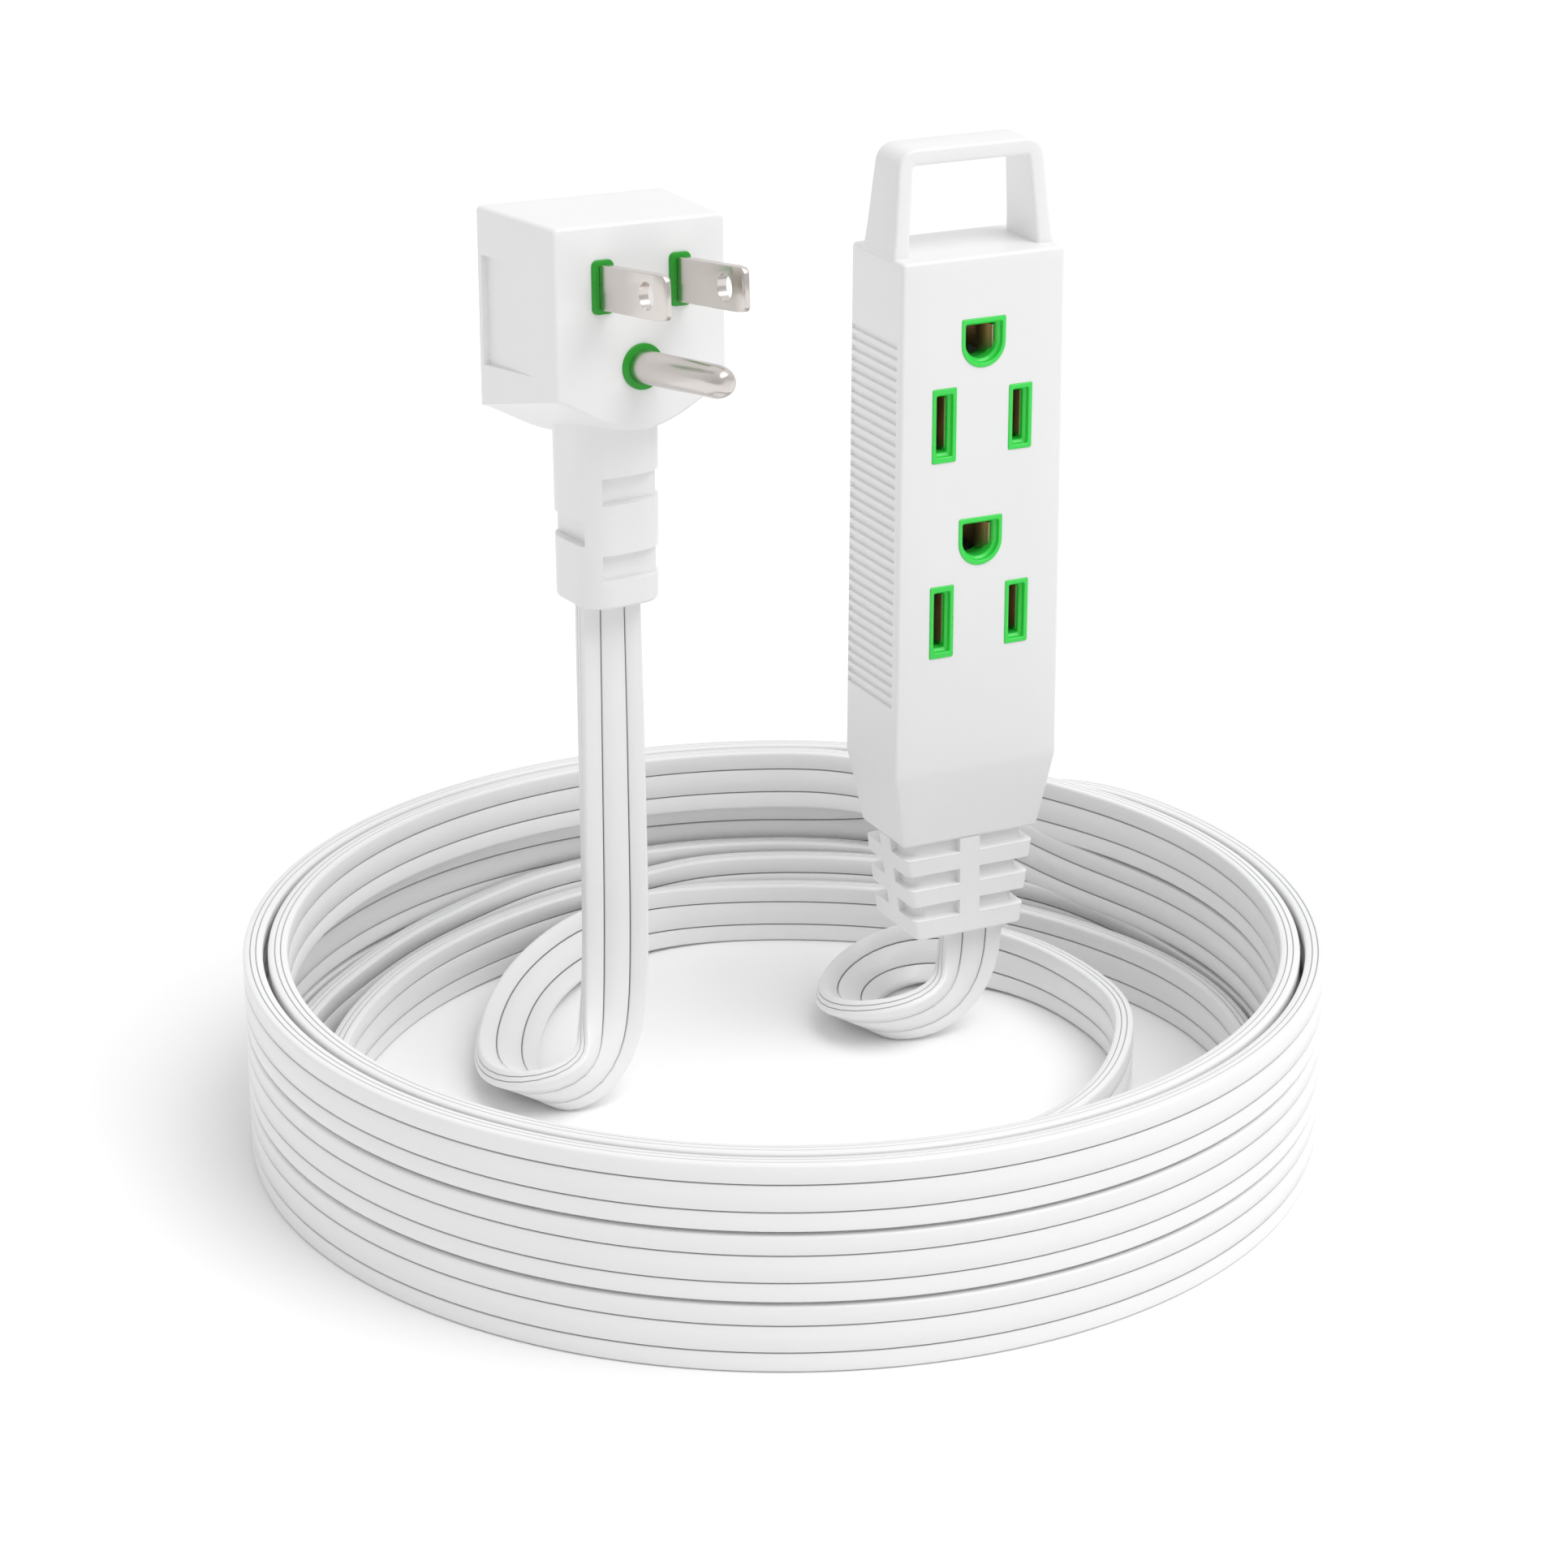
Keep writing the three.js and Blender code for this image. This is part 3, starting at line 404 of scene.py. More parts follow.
# The coil's turns: (angle run so far in degrees, radius of the strip's middle, height of its lower edge).
# Angle 0 is the side nearest the camera, 90 the left and 180 the back, and the angle grows along the
# cord from the plug. The layers are counted from the innermost and the levels from the floor.
COIL_CENTRE = (-37.1, -17.7)
COIL_AHEAD = (0.4366, 0.8996)
COIL_RIGHT = (0.8996, -0.4366)
LAYER_1, LAYER_2, LAYER_3, LAYER_4 = 67.45, 71.05, 74.65, 78.25
LEVEL_2, LEVEL_3 = 10.35, 20.7
COIL_TURNS = [
    (166, LAYER_1, 0), (186, LAYER_1, 0), (216, 69, 0), (250, LAYER_2, 0), (330, LAYER_2, 0),
    (360, 69, 0), (400, LAYER_1, 0), (468, LAYER_1, 0), (487, 69, 0), (510, LAYER_2, 0.4),
    (530, LAYER_2, 3.6), (546, LAYER_2, 3.8), (576, LAYER_3, 2.4), (600, LAYER_3, 0), (835, LAYER_3, 0),
    (850, LAYER_3, 1.5), (870, LAYER_3, 4), (886, LAYER_3, 4.8), (906, LAYER_3, 4.8),
    (943, LAYER_4, 0), (1266, LAYER_4, 0), (1303, LAYER_4, LEVEL_2), (1626, LAYER_4, LEVEL_2),
    (1663, LAYER_4, LEVEL_3), (1986, LAYER_4, LEVEL_3), (2016, LAYER_3, LEVEL_3),
    (2346, LAYER_3, LEVEL_3), (2383, LAYER_3, LEVEL_2), (2440, LAYER_3, LEVEL_2),
    (2458, 74.6, 10.5), (2468, 73.6, 10.8),
]
COIL_STEP = 10
COIL_CLEARANCE = 0.05


def coil_spot(angle):
    """The radius and the height of the lower edge at an angle of the coil."""
    for (a0, *first), (a1, *second) in zip(COIL_TURNS, COIL_TURNS[1:]):
        if angle <= a1:
            share = smooth((angle - a0) / (a1 - a0))
            return [mix(a, b, share) for a, b in zip(first, second)]
    return COIL_TURNS[-1][1:]


def coil_station(degrees):
    radius, low = coil_spot(degrees)
    height = low + CORD_WIDTH / 2 + COIL_CLEARANCE
    back = -radius * math.cos(math.radians(degrees))
    right = -radius * math.sin(math.radians(degrees))
    x = COIL_CENTRE[0] + back * COIL_AHEAD[0] + right * COIL_RIGHT[0]
    y = COIL_CENTRE[1] + back * COIL_AHEAD[1] + right * COIL_RIGHT[1]
    return [x, y, height, 0, 0, 1]


def cord_stations():
    """The whole cord from the outlet block to the plug."""
    first, last = COIL_TURNS[0][0], COIL_TURNS[-1][0]
    count = round((last - first) / COIL_STEP)
    coil = [coil_station(first + (last - first) * i / count) for i in range(count + 1)]
    block_end = [[2.7, -2.6, 23, -1, 0, 0]]
    plug_end = [[-54.8, 5.1, 81, -0.99, -0.12, 0]]
    return block_end + SOCKET_RUN + coil[::-1] + JOIN_RUN[::-1] + PLUG_RUN[::-1] + plug_end


def catmull_rom(p0, p1, p2, p3, share):
    """A centripetal spline between p1 and p2."""
    def knot(start, a, b):
        return start + max((b - a).length, 1e-6) ** 0.5

    t1 = knot(0.0, p0, p1)
    t2 = knot(t1, p1, p2)
    t3 = knot(t2, p2, p3)
    t = t1 + (t2 - t1) * share
    a1 = p0 * ((t1 - t) / t1) + p1 * (t / t1)
    a2 = p1 * ((t2 - t) / (t2 - t1)) + p2 * ((t - t1) / (t2 - t1))
    a3 = p2 * ((t3 - t) / (t3 - t2)) + p3 * ((t - t2) / (t3 - t2))
    b1 = a1 * ((t2 - t) / t2) + a2 * (t / t2)
    b2 = a2 * ((t3 - t) / (t3 - t1)) + a3 * ((t - t1) / (t3 - t1))
    return b1 * ((t2 - t) / (t2 - t1)) + b2 * ((t - t1) / (t2 - t1))


def spline(stations):
    """Close (point, side) pairs along a smooth curve through the stations."""
    points = [Vector(s[:3]) for s in stations]
    sides = [Vector(s[3:]).normalized() for s in stations]
    padded = [points[0] * 2 - points[1], *points, points[-1] * 2 - points[-2]]
    fine = []
    for i in range(len(points) - 1):
        parts = max(4, math.ceil((points[i + 1] - points[i]).length / SPLINE_STEP))
        for k in range(parts):
            share = k / parts
            spot = catmull_rom(*padded[i:i + 4], share)
            fine.append((spot, sides[i].lerp(sides[i + 1], smooth(share) * 0.5 + share * 0.5)))
    fine.append((points[-1], sides[-1]))
    return fine


def resampled(fine, step):
    """The (point, side) pairs again, at even steps along their curve."""
    lengths = [0.0]
    for (a, _), (b, _) in zip(fine, fine[1:]):
        lengths.append(lengths[-1] + (b - a).length)
    count = round(lengths[-1] / step)
    out, k = [], 0
    for i in range(count + 1):
        want = lengths[-1] * i / count
        while k < len(fine) - 2 and lengths[k + 1] < want:
            k += 1
        share = (want - lengths[k]) / max(lengths[k + 1] - lengths[k], 1e-9)
        (a, side_a), (b, side_b) = fine[k], fine[k + 1]
        out.append((a.lerp(b, share), side_a.lerp(side_b, share)))
    return out


def cord_section():
    """Points round the flat section as (across, through, painted shade): one half, and the same turned
    round.
    """
    x, y = CORD_WIDTH / 2, CORD_THICKNESS / 2
    corner = CORD_CORNER
    groove = [(middle + u, depth, dark) for middle in GROOVE_PLACES for u, depth, dark in GROOVE]
    flat = [(-x + corner, 0, 0), *groove, (x - corner, 0, 0)]
    seam = [(middle + v, depth, dark) for middle in SEAM_PLACES for v, depth, dark in SEAM]
    bend = arc(x - corner, -y + corner, corner, -90, 90, 4)[1:-1]
    half = [(u, -y + depth, dark) for u, depth, dark in flat]
    half += [(u, v, 0) for u, v in bend]
    half += [(x - depth, v, dark) for v, depth, dark in seam]
    half += [(u, -v, 0) for u, v in reversed(bend)]
    return half + [(-u, -v, dark) for u, v, dark in half]


def softened(values, passes):
    """The values, each drawn towards its neighbours, with both ends kept."""
    for _ in range(passes):
        inner = [(a + b * 2 + c) * 0.25 for a, b, c in zip(values, values[1:], values[2:])]
        values = [values[0], *inner, values[-1]]
    return values


def tangents(points):
    """Directions along a row of points."""
    ahead = points[1:] + points[-1:]
    behind = points[:1] + points[:-1]
    return [(a - b).normalized() for a, b in zip(ahead, behind)]


def squared(sides, along):
    """The sides, turned square to the direction along."""
    return [(side - t * side.dot(t)).normalized() for side, t in zip(sides, along)]


def floor_lifts(points, across, along):
    """How far each point has to rise so that the section round it clears the floor."""
    lifts = []
    for point, a, t in zip(points, across, along):
        through = t.cross(a)
        reach = abs(a.z) * (CORD_WIDTH / 2 - CORD_CORNER)
        reach += abs(through.z) * (CORD_THICKNESS / 2 - CORD_CORNER)
        lifts.append(max(0.0, reach + CORD_CORNER + FLOOR_CLEARANCE - point.z))
    spread = [max(lifts[max(i - 3, 0):i + 4]) for i in range(len(lifts))]
    return softened(spread, 3)


def cord_frames():
    """Centre, width and thickness directions along the cord, and its length."""
    samples = resampled(spline(cord_stations()), CORD_STEP)
    points = softened([point for point, _ in samples], POINT_PASSES)
    along = tangents(points)
    across = squared([side for _, side in samples], along)
    for _ in range(SIDE_PASSES):
        across = squared(softened(across, 1), along)
    lifts = floor_lifts(points, across, along)
    points = [point + Vector((0, 0, lift)) for point, lift in zip(points, lifts)]
    along = tangents(points)
    across = squared(across, along)
    length = sum((b - a).length for a, b in zip(points, points[1:]))
    return points, across, [t.cross(a) for t, a in zip(along, across)], length


def make_cord():
    points, across, through, length = cord_frames()
    section = cord_section()
    rings = [
        [tuple(point + a * u + b * v) for u, v, _ in section]
        for point, a, b in zip(points, across, through)
    ]
    mesh = loft("flat_cord", rings)
    # Painted shade for each point of the section: dark in the bottoms of grooves and seams, where shade
    # falls.
    painted_groove_shade = mesh.attributes.new("painted_groove_shade", "FLOAT", "POINT")
    for i, spot in enumerate(painted_groove_shade.data):
        spot.value = section[i % len(section)][2]
    obj = add_object("flat_cord", mesh, CORD_WHITE, 50)
    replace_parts(obj, "cord_plug_run", "cord_coil", "cord_socket_run")
    return obj, [place(*point) for point in points], length


cord, cord_path, cord_length = make_cord()

# ---------------------------------------------------------------- outlet block

BLOCK_TOP = 125.9
BLOCK_SHOULDER = 46.5
BLOCK_FOOT = 34.5
TOP_SIZE = (26.8, 16.6)
SHOULDER_SIZE = (27.8, 16.6)
FOOT_SIZE = (23.2, 14.0)
FACE_Y = -8.3
BACK_Y = 8.3
SEAM_Y = -5.8
WALL = 2.0
BLOCK_CORNER = 0.6
TOP_EDGE = 0.6

RIB_TOP = 113.3
RIB_COUNT = 35
RIB_PITCH = 1.63
RIB_HALF = 0.4
RIB_DEPTH = 0.45
RIB_FRONT = -6.7


def housing_size(height):
    """Width and depth of the block at a height."""
    if height <= BLOCK_SHOULDER:
        share = (height - BLOCK_FOOT) / (BLOCK_SHOULDER - BLOCK_FOOT)
        return tuple(mix(a, b, share) for a, b in zip(FOOT_SIZE, SHOULDER_SIZE))
    share = (height - BLOCK_SHOULDER) / (BLOCK_TOP - BLOCK_SHOULDER)
    return tuple(mix(a, b, share) for a, b in zip(SHOULDER_SIZE, TOP_SIZE))


def housing_outline(width, depth):
    """Points round the housing, close together on the sides where the grip grooves end."""
    r = BLOCK_CORNER
    x, y = width / 2, depth / 2
    side_y = [RIB_FRONT + past for past in (-0.3, -0.12, 0.0, 0.1, 0.25, 0.45, 0.8)] + [-3.0, 1.0, 5.0, 7.0]
    side_y = [v * depth / TOP_SIZE[1] for v in side_y]
    spots = (0.6, 0.2, -0.2, -0.6)
    points = [(x, v) for v in side_y]
    points += arc(x - r, y - r, r, 0, 90, 4)
    points += [(x * s, y) for s in spots]
    points += arc(-x + r, y - r, r, 90, 90, 4)
    points += [(-x, v) for v in reversed(side_y)]
    points += arc(-x + r, -y + r, r, 180, 90, 4)
    points += [(x * s, -y) for s in reversed(spots)]
    points += arc(x - r, -y + r, r, 270, 90, 4)
    return points


def groove_depth(y, height):
    """How deep the grip grooves are at a point of the side."""
    index = round((RIB_TOP - height) / RIB_PITCH)
    if not 0 <= index < RIB_COUNT:
        return 0.0
    rise = height - (RIB_TOP - index * RIB_PITCH)
    past = max(RIB_FRONT + RIB_HALF - y, 0.0)
    away = math.hypot(rise, past)
    return RIB_DEPTH * smooth((RIB_HALF + 0.05 - away) / 0.12)


def housing_heights():
    """Heights of the rings: close together over each groove and round the top edge."""
    heights = [BLOCK_FOOT, BLOCK_FOOT + 0.35, 38, 42, 45, 46, 46.5, 47, 48.5, 52, 116, 120, 124]
    for index in range(RIB_COUNT):
        middle = RIB_TOP - index * RIB_PITCH
        heights += [middle + d for d in (-0.46, -0.34, -0.2, 0, 0.2, 0.34, 0.46)]
    heights += [z for _, z in arc(0, BLOCK_TOP - TOP_EDGE, TOP_EDGE, 0, 90, 4)]
    return sorted(heights)


def housing_inset(height):
    """How far the outline draws in at the foot and round the top edge."""
    if height > BLOCK_TOP - TOP_EDGE:
        rise = (height - BLOCK_TOP + TOP_EDGE) / TOP_EDGE
        return TOP_EDGE * (1 - math.sqrt(max(0.0, 1 - rise * rise)))
    return 0.25 if height < BLOCK_FOOT + 0.2 else 0.0


def housing_mesh():
    rings = []
    for height in housing_heights():
        width, depth = housing_size(height)
        inset = housing_inset(height)
        narrower, shallower = 1 - 2 * inset / width, 1 - 2 * inset / depth
        ring = []
        for x, y in housing_outline(width, depth):
            on_side = abs(abs(x) - width / 2) < 1e-6
            groove = groove_depth(y, height) if on_side else 0.0
            ring.append((x * narrower - math.copysign(groove, x), y * shallower, height))
        rings.append(ring)
    return loft("housing", rings)


def inner_mesh():
    """The hollow inside the rear cover."""
    rings = []
    for height in (BLOCK_FOOT + WALL, BLOCK_SHOULDER, BLOCK_TOP - WALL):
        width, depth = housing_size(height)
        outline = rounded_rectangle(width - 2 * WALL, depth - 2 * WALL, 1.0, 3)
        rings.append([(x, y, height) for x, y in outline])
    return loft("inside", rings)


SLOT_HEIGHTS = (101.0, 70.6)
BLADE_SPACING = 12.7
HALF_SPACING = BLADE_SPACING / 2
GROUND_OFFSET = 11.9
GROUND_HEIGHTS = [height + GROUND_OFFSET for height in SLOT_HEIGHTS]
# Each is (centre x, height above the blade line, size of the opening, size of the rim, round below).
OPENINGS = {
    "long": (-HALF_SPACING, 0.0, (1.8, 8.6), (4.0, 11.3), False),
    "short": (HALF_SPACING, 0.0, (1.7, 7.7), (3.9, 10.0), False),
    "ground": (0.0, GROUND_OFFSET, (5.2, 5.2), (7.3, 7.5), True),
}


def opening_outline(size, x, height, is_round, grow=0.0):
    """A slot, or the ground hole with its flat top and round bottom."""
    width, tall = size[0] + 2 * grow, size[1] + 2 * grow
    if not is_round:
        return rounded_rectangle(width, tall, min(0.3, width / 4), 4, x, height)
    half = width / 2
    top = height + tall / 2
    corner = 0.35
    points = arc(x, top - tall + half, half, 180, 180, 16)
    points += arc(x + half - corner, top - corner, corner, 0, 90, 4)
    points += arc(x - half + corner, top - corner, corner, 90, 90, 4)
    return points


def outlet_places():
    """Every opening of both outlets: centre, sizes and form."""
    for level in SLOT_HEIGHTS:
        for x, rise, opening, rim, is_round in OPENINGS.values():
            yield x, level + rise, opening, rim, is_round


def rim_mesh(x, height, opening, rim, is_round):
    """A closed ring round one opening: a flat lip, a chamfered mouth and a short tube."""
    def outline(size, grow=0.0):
        return opening_outline(size, x, height, is_round, grow)

    lip = FACE_Y - 0.16
    back = FACE_Y + 2.4
    profile = [
        (outline(rim), back),
        (outline(rim), lip + 0.12),
        (outline(rim, -0.1), lip),
        (outline(opening, 0.55), lip),
        (outline(opening, 0.47), lip + 0.08),
        (outline(opening, 0.4), lip + 0.7),
        (outline(opening, 0.06), lip + 0.95),
        (outline(opening), lip + 1.05),
        (outline(opening), back),
    ]
    rings = [[(px, y, pz) for px, pz in points] for points, y in profile]
    return loft("rim", rings, closed_loop=True)


def make_outlets():
    """The green insert: a plate behind the face, and a rim in each opening."""
    plate = prism(rounded_rectangle(22, 54.8, 1.5, 4, 0, 87.4), -5.5, -3.5)
    holes = [
        prism(opening_outline(opening, x, z, is_round, 0.3), -6.5, -2.5)
        for x, z, opening, _, is_round in outlet_places()
    ]
    plate = cut(plate, holes)
    rims = [rim_mesh(*spot) for spot in outlet_places()]
    obj = add_object("outlet_insert", joined("outlet_insert", [plate, *rims]), GREEN, 28)
    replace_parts(obj, "contact_carrier")


def make_housing():
    """Front and rear covers: one hull parted at the seam, with pockets for the rims and the screws."""
    hull = housing_mesh()
    pockets = [
        prism(opening_outline(rim, x, z, is_round, 0.03), FACE_Y - 2, -5.7)
        for x, z, _, rim, is_round in outlet_places()
    ]
    behind = block_mesh(-20, 20, SEAM_Y, 20, 20, 140)
    front = cut(hull.copy(), [behind, *pockets])
    before = block_mesh(-20, 20, -20, SEAM_Y, 20, 140)
    stem = block_mesh(-7, 7, -4, 4, 30, 38)
    recesses = [
        prism(circle(2.45, 32, x, z), BACK_Y - 1.2, BACK_Y + 1)
        for z in (119.3, 48.0) for x in (-9, 9)
    ]
    rear = cut(hull, [before, inner_mesh(), stem, *recesses])
    front_obj = add_object("block_front", front, WHITE, 28)
    rear_obj = add_object("block_rear", rear, WHITE, 28)
    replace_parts(front_obj, "front_cover")
    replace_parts(rear_obj, "rear_cover")


HANDLE_FOOT = 13.2
HANDLE_HEAD = 11.9
HANDLE_BASE = BLOCK_TOP - 0.3
HANDLE_TOP = 141.4
HANDLE_HALF = 1.25
HANDLE_BEND = 1.75


def handle_path():
    """The middle of the bar as (x, height): up one leg, round a corner, over the top and down again."""
    foot = Vector((-HANDLE_FOOT + HANDLE_HALF, HANDLE_BASE))
    corner = Vector((-HANDLE_HEAD + HANDLE_HALF, HANDLE_TOP - HANDLE_HALF))
    up = (corner - foot).normalized()
    enter = corner - up * HANDLE_BEND
    leave = corner + Vector((HANDLE_BEND, 0))
    leg = [foot.lerp(enter, share) for share in (0, 0.02, 0.05, 0.3, 0.6, 0.85, 1)]
    for i in range(1, 9):
        leg.append(enter.lerp(corner, i / 8).lerp(corner.lerp(leave, i / 8), i / 8))
    over = [Vector((x, HANDLE_TOP - HANDLE_HALF)) for x in (-6, -2, 2, 6)]
    return leg + over + [Vector((-p.x, p.y)) for p in reversed(leg)]


def make_handle():
    """The hanging loop: a rounded bar swept along its path, with a small flare where it stands."""
    path = handle_path()
    along = [(b - a).normalized() for a, b in zip(path[:1] + path[:-1], path[1:] + path[-1:])]
    along[0] = Vector((0, 1))
    along[-1] = Vector((0, -1))
    rings = []
    for point, way in zip(path, along):
        share = (point.y - HANDLE_BASE) / (HANDLE_TOP - HANDLE_BASE)
        flare = 0.35 * smooth((HANDLE_BASE + 0.9 - point.y) / 0.6)
        section = rounded_rectangle(2 * HANDLE_HALF + flare, mix(10, 7.4, share) + flare, 0.55, 4)
        rings.append([(point.x - way.y * u, v, point.y + way.x * u) for u, v in section])
    obj = add_object("hanging_loop", loft("hanging_loop", rings), WHITE, 40)
    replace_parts(obj, "hang_handle")


def make_block_relief():
    """A tapered sleeve with three rows of slots, one slot round each upright corner."""
    top, bottom = BLOCK_FOOT - 0.05, 18.7

    def size_at(height):
        share = (height - bottom) / (top - bottom)
        return mix(18.2, 22.8, share), mix(14.4, 13.7, share)

    rings = []
    for height, inset in ((bottom, 0.3), (bottom + 0.3, 0.0), (top, 0.0)):
        width, depth = size_at(height)
        outline = rounded_rectangle(width - 2 * inset, depth - 2 * inset, 0.9, 4)
        rings.append([(x, y, height) for x, y in outline])
    spine, pitch, slot, wall = 1.75, 5.1, 2.3, 1.25
    tools = []
    for row in range(3):
        z1 = BLOCK_FOOT - pitch * row + (0.4 if row == 0 else 0)
        z0 = BLOCK_FOOT - pitch * row - slot
        width, depth = size_at(z0 + 1.1)
        core = extruded(rounded_rectangle(width - 2 * wall, depth - 2 * wall, 1.9, 5), z0 - 1, z1 + 1)
        for sx in (-1, 1):
            for sy in (-1, 1):
                x0, x1 = sorted((sx * spine, sx * 16))
                y0, y1 = sorted((sy * spine, sy * 12))
                tools.append(cut(block_mesh(x0, x1, y0, y1, z0, z1), [core]))
    relief = cut(loft("sleeve", rings), tools)
    obj = add_object("block_relief", relief, WHITE, 30)
    bevelled(obj, 0.13)
    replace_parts(obj, "block_strain_relief")


LEAF_THICKNESS = 0.28


def leaf_outline(x, side, throat, mouth):
    """A sprung contact leaf in plan: flared at its mouth, narrow in the throat."""
    line = [
        (mouth, -6.7), (mouth - 0.12, -6.2), (throat, -4.6),
        (throat, -3.4), (throat + 0.35, -1.6), (throat + 0.4, 0.4),
    ]
    outer = [(u + LEAF_THICKNESS, v) for u, v in reversed(line)]
    return [(x + side * u, v) for u, v in line + outer]


def make_contacts(node, name, x, y, levels, tall, throat, mouth):
    """An upright strip with a pair of leaves behind each opening on its line."""
    strip = block_mesh(x - 1.6, x + 1.6, y, y + 0.6, 62.0, levels[0] + tall / 2)
    leaves = [
        extruded(leaf_outline(x, side, throat, mouth), level - tall / 2, level + tall / 2)
        for level in levels for side in (-1, 1)
    ]
    obj = add_object(name, joined(name, [strip, *leaves]), BRASS, 30)
    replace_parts(obj, node)


make_housing()
make_outlets()
make_handle()
make_block_relief()
make_contacts("neutral_bus_bar", "neutral_contacts", -HALF_SPACING, 0.6, SLOT_HEIGHTS, 7.6, 0.4, 0.78)
make_contacts("line_bus_bar", "line_contacts", HALF_SPACING, 0.6, SLOT_HEIGHTS, 6.8, 0.38, 0.74)
make_contacts("ground_bus_bar", "ground_contacts", 0.0, 2.9, GROUND_HEIGHTS, 4.2, 1.2, 2.2)

# ---------------------------------------------------------------- plug, in its own frame

PLUG_YAW = 7.1
PLUG_LEAN = 4.1
PLUG_ROLL = 2.2
PRONG_RISE = 2.5
PLUG_DEPTH = 19.5
LIFTED = Matrix.Translation((0, 0, HOOK_HEIGHT * 0.001))
YAW = Matrix.Rotation(math.radians(PLUG_YAW), 4, "Z")
PLUG_TURN = (
    Matrix.Translation(place(-52.8, -4.0, 126.6))
    @ YAW
    @ Matrix.Rotation(math.radians(-PLUG_LEAN), 4, "X")
    @ Matrix.Rotation(math.radians(PLUG_ROLL), 4, "Y")
    @ LIFTED
)
PRONG_TURN = PLUG_TURN @ LIFTED.inverted() @ Matrix.Rotation(math.radians(-PRONG_RISE), 4, "X") @ LIFTED
NECK_TURN = Matrix.Translation(place(-54.8, 5.1, 107.1)) @ YAW @ LIFTED
NECK_LENGTH = 29.2


def plug_outline(share, inset):
    """The plug's outline at a share of its depth: straight sides over a belly with a keel."""
    half = mix(13.95, 15.65, share) - inset
    top = mix(8.7, 10.0, share) - inset
    side_low = mix(-15.6, -18.8, share) + inset * 0.5
    keel = mix(-21.0, -24.4, share) + inset
    r = 0.8
    points = arc(half - r, top - r, r, 0, 90, 5)
    points += [(half * s, top) for s in (0.5, 0, -0.5)]
    points += arc(-half + r, top - r, r, 90, 90, 5)
    points += [(-half, mix(top, side_low, s)) for s in (0.35, 0.65, 0.9)]
    points.append((-half, side_low + 0.35))
    for i in range(33):
        across = i / 16 - 1
        drop = math.cos(across * math.pi / 2) ** 1.2
        points.append((across * half, mix(side_low, keel, drop)))
    points.append((half, side_low + 0.35))
    points += [(half, mix(side_low, top, s)) for s in (0.1, 0.35, 0.65)]
    return points


def plug_body_mesh():
    """The outline swept from the face to the back, with both edges rounded."""
    edge = 0.55
    spots = [(edge - v, edge - u) for u, v in arc(0, 0, edge, 0, 90, 5)]
    places = [(y, inset) for inset, y in spots]
    places += [(y, 0.0) for y in (3, 6, 9, 12, 15, 17)]
    places += [(PLUG_DEPTH - y, inset) for inset, y in reversed(spots)]
    rings = []
    for y, inset in places:
        rings.append([(x, y, z) for x, z in plug_outline(y / PLUG_DEPTH, inset)])
    return loft("plug_body", rings)


def hollow_tool(side):
    """A grip hollow: a sharp step near the back and a ramp out to the side's surface."""
    outline = [(14.6, 18.3), (20, 18.3), (20, 5.3), (14.42, 5.3)]
    return extruded([(side * x, y) for x, y in outline], -12.8, 3.0)


def make_plug_body():
    """The plug's shell with its grip hollows and a socket for each collar."""
    sockets = [rounded_rectangle(3.44, 7.64, 0.85, 4, x, 0) for x in (-HALF_SPACING, HALF_SPACING)]
    sockets.append(circle(3.3, 40, 0, -GROUND_OFFSET))
    tools = [hollow_tool(1), hollow_tool(-1)]
    tools += [prism(outline, -2, 3.6) for outline in sockets]
    body = moved(cut(plug_body_mesh(), tools), PLUG_TURN)
    obj = add_object("plug_shell", body, WHITE, 30)
    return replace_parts(obj, "plug_body")


def collar(outline_of, inner):
    """A closed ring with a rounded lip round one prong."""
    proud, back = 0.55, 3.5
    profile = [(0.0, back), (0.0, -proud + 0.3), (-0.09, -proud + 0.09), (-0.3, -proud)]
    rings = [[(x, y, z) for x, z in outline_of(grow)] for grow, y in profile]
    rings += [[(x, y, z) for x, z in inner] for y in (-proud, -proud + 0.3, back)]
    return loft("collar", rings, closed_loop=True)


def blade_rim(x, grow):
    return rounded_rectangle(3.5 + 2 * grow, 7.7 + 2 * grow, 0.85 + grow, 4, x, 0)


def pin_circle(radius):
    return circle(radius, 48, 0, -GROUND_OFFSET)


def make_collars():
    """The green carrier: a plate inside the plug, with a collar round each prong."""
    parts = [
        collar(lambda grow: blade_rim(x, grow), rounded_rectangle(1.56, 6.41, 0.3, 4, x, 0))
        for x in (-HALF_SPACING, HALF_SPACING)
    ]
    parts.append(collar(lambda grow: pin_circle(3.35 + grow), pin_circle(2.42)))
    parts.append(prism(rounded_rectangle(22.2, 19.5, 2, 4, 0, -5.0), 3.6, 6.3))
    mesh = moved(joined("plug_bridge", parts), PLUG_TURN)
    obj = add_object("plug_bridge", mesh, DARK_GREEN, 40)
    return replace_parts(obj, "blade_bridge")


PRONG_BACK = 8.2
BLADE_LENGTH = 18.0
BLADE_HALF_WIDTH = 3.175
BLADE_HALF_THICKNESS = 0.75
PIN_LENGTH = 22.2
PIN_RADIUS = 2.4
PIN_NOSE = 3.4
PIN_TIP = 0.55


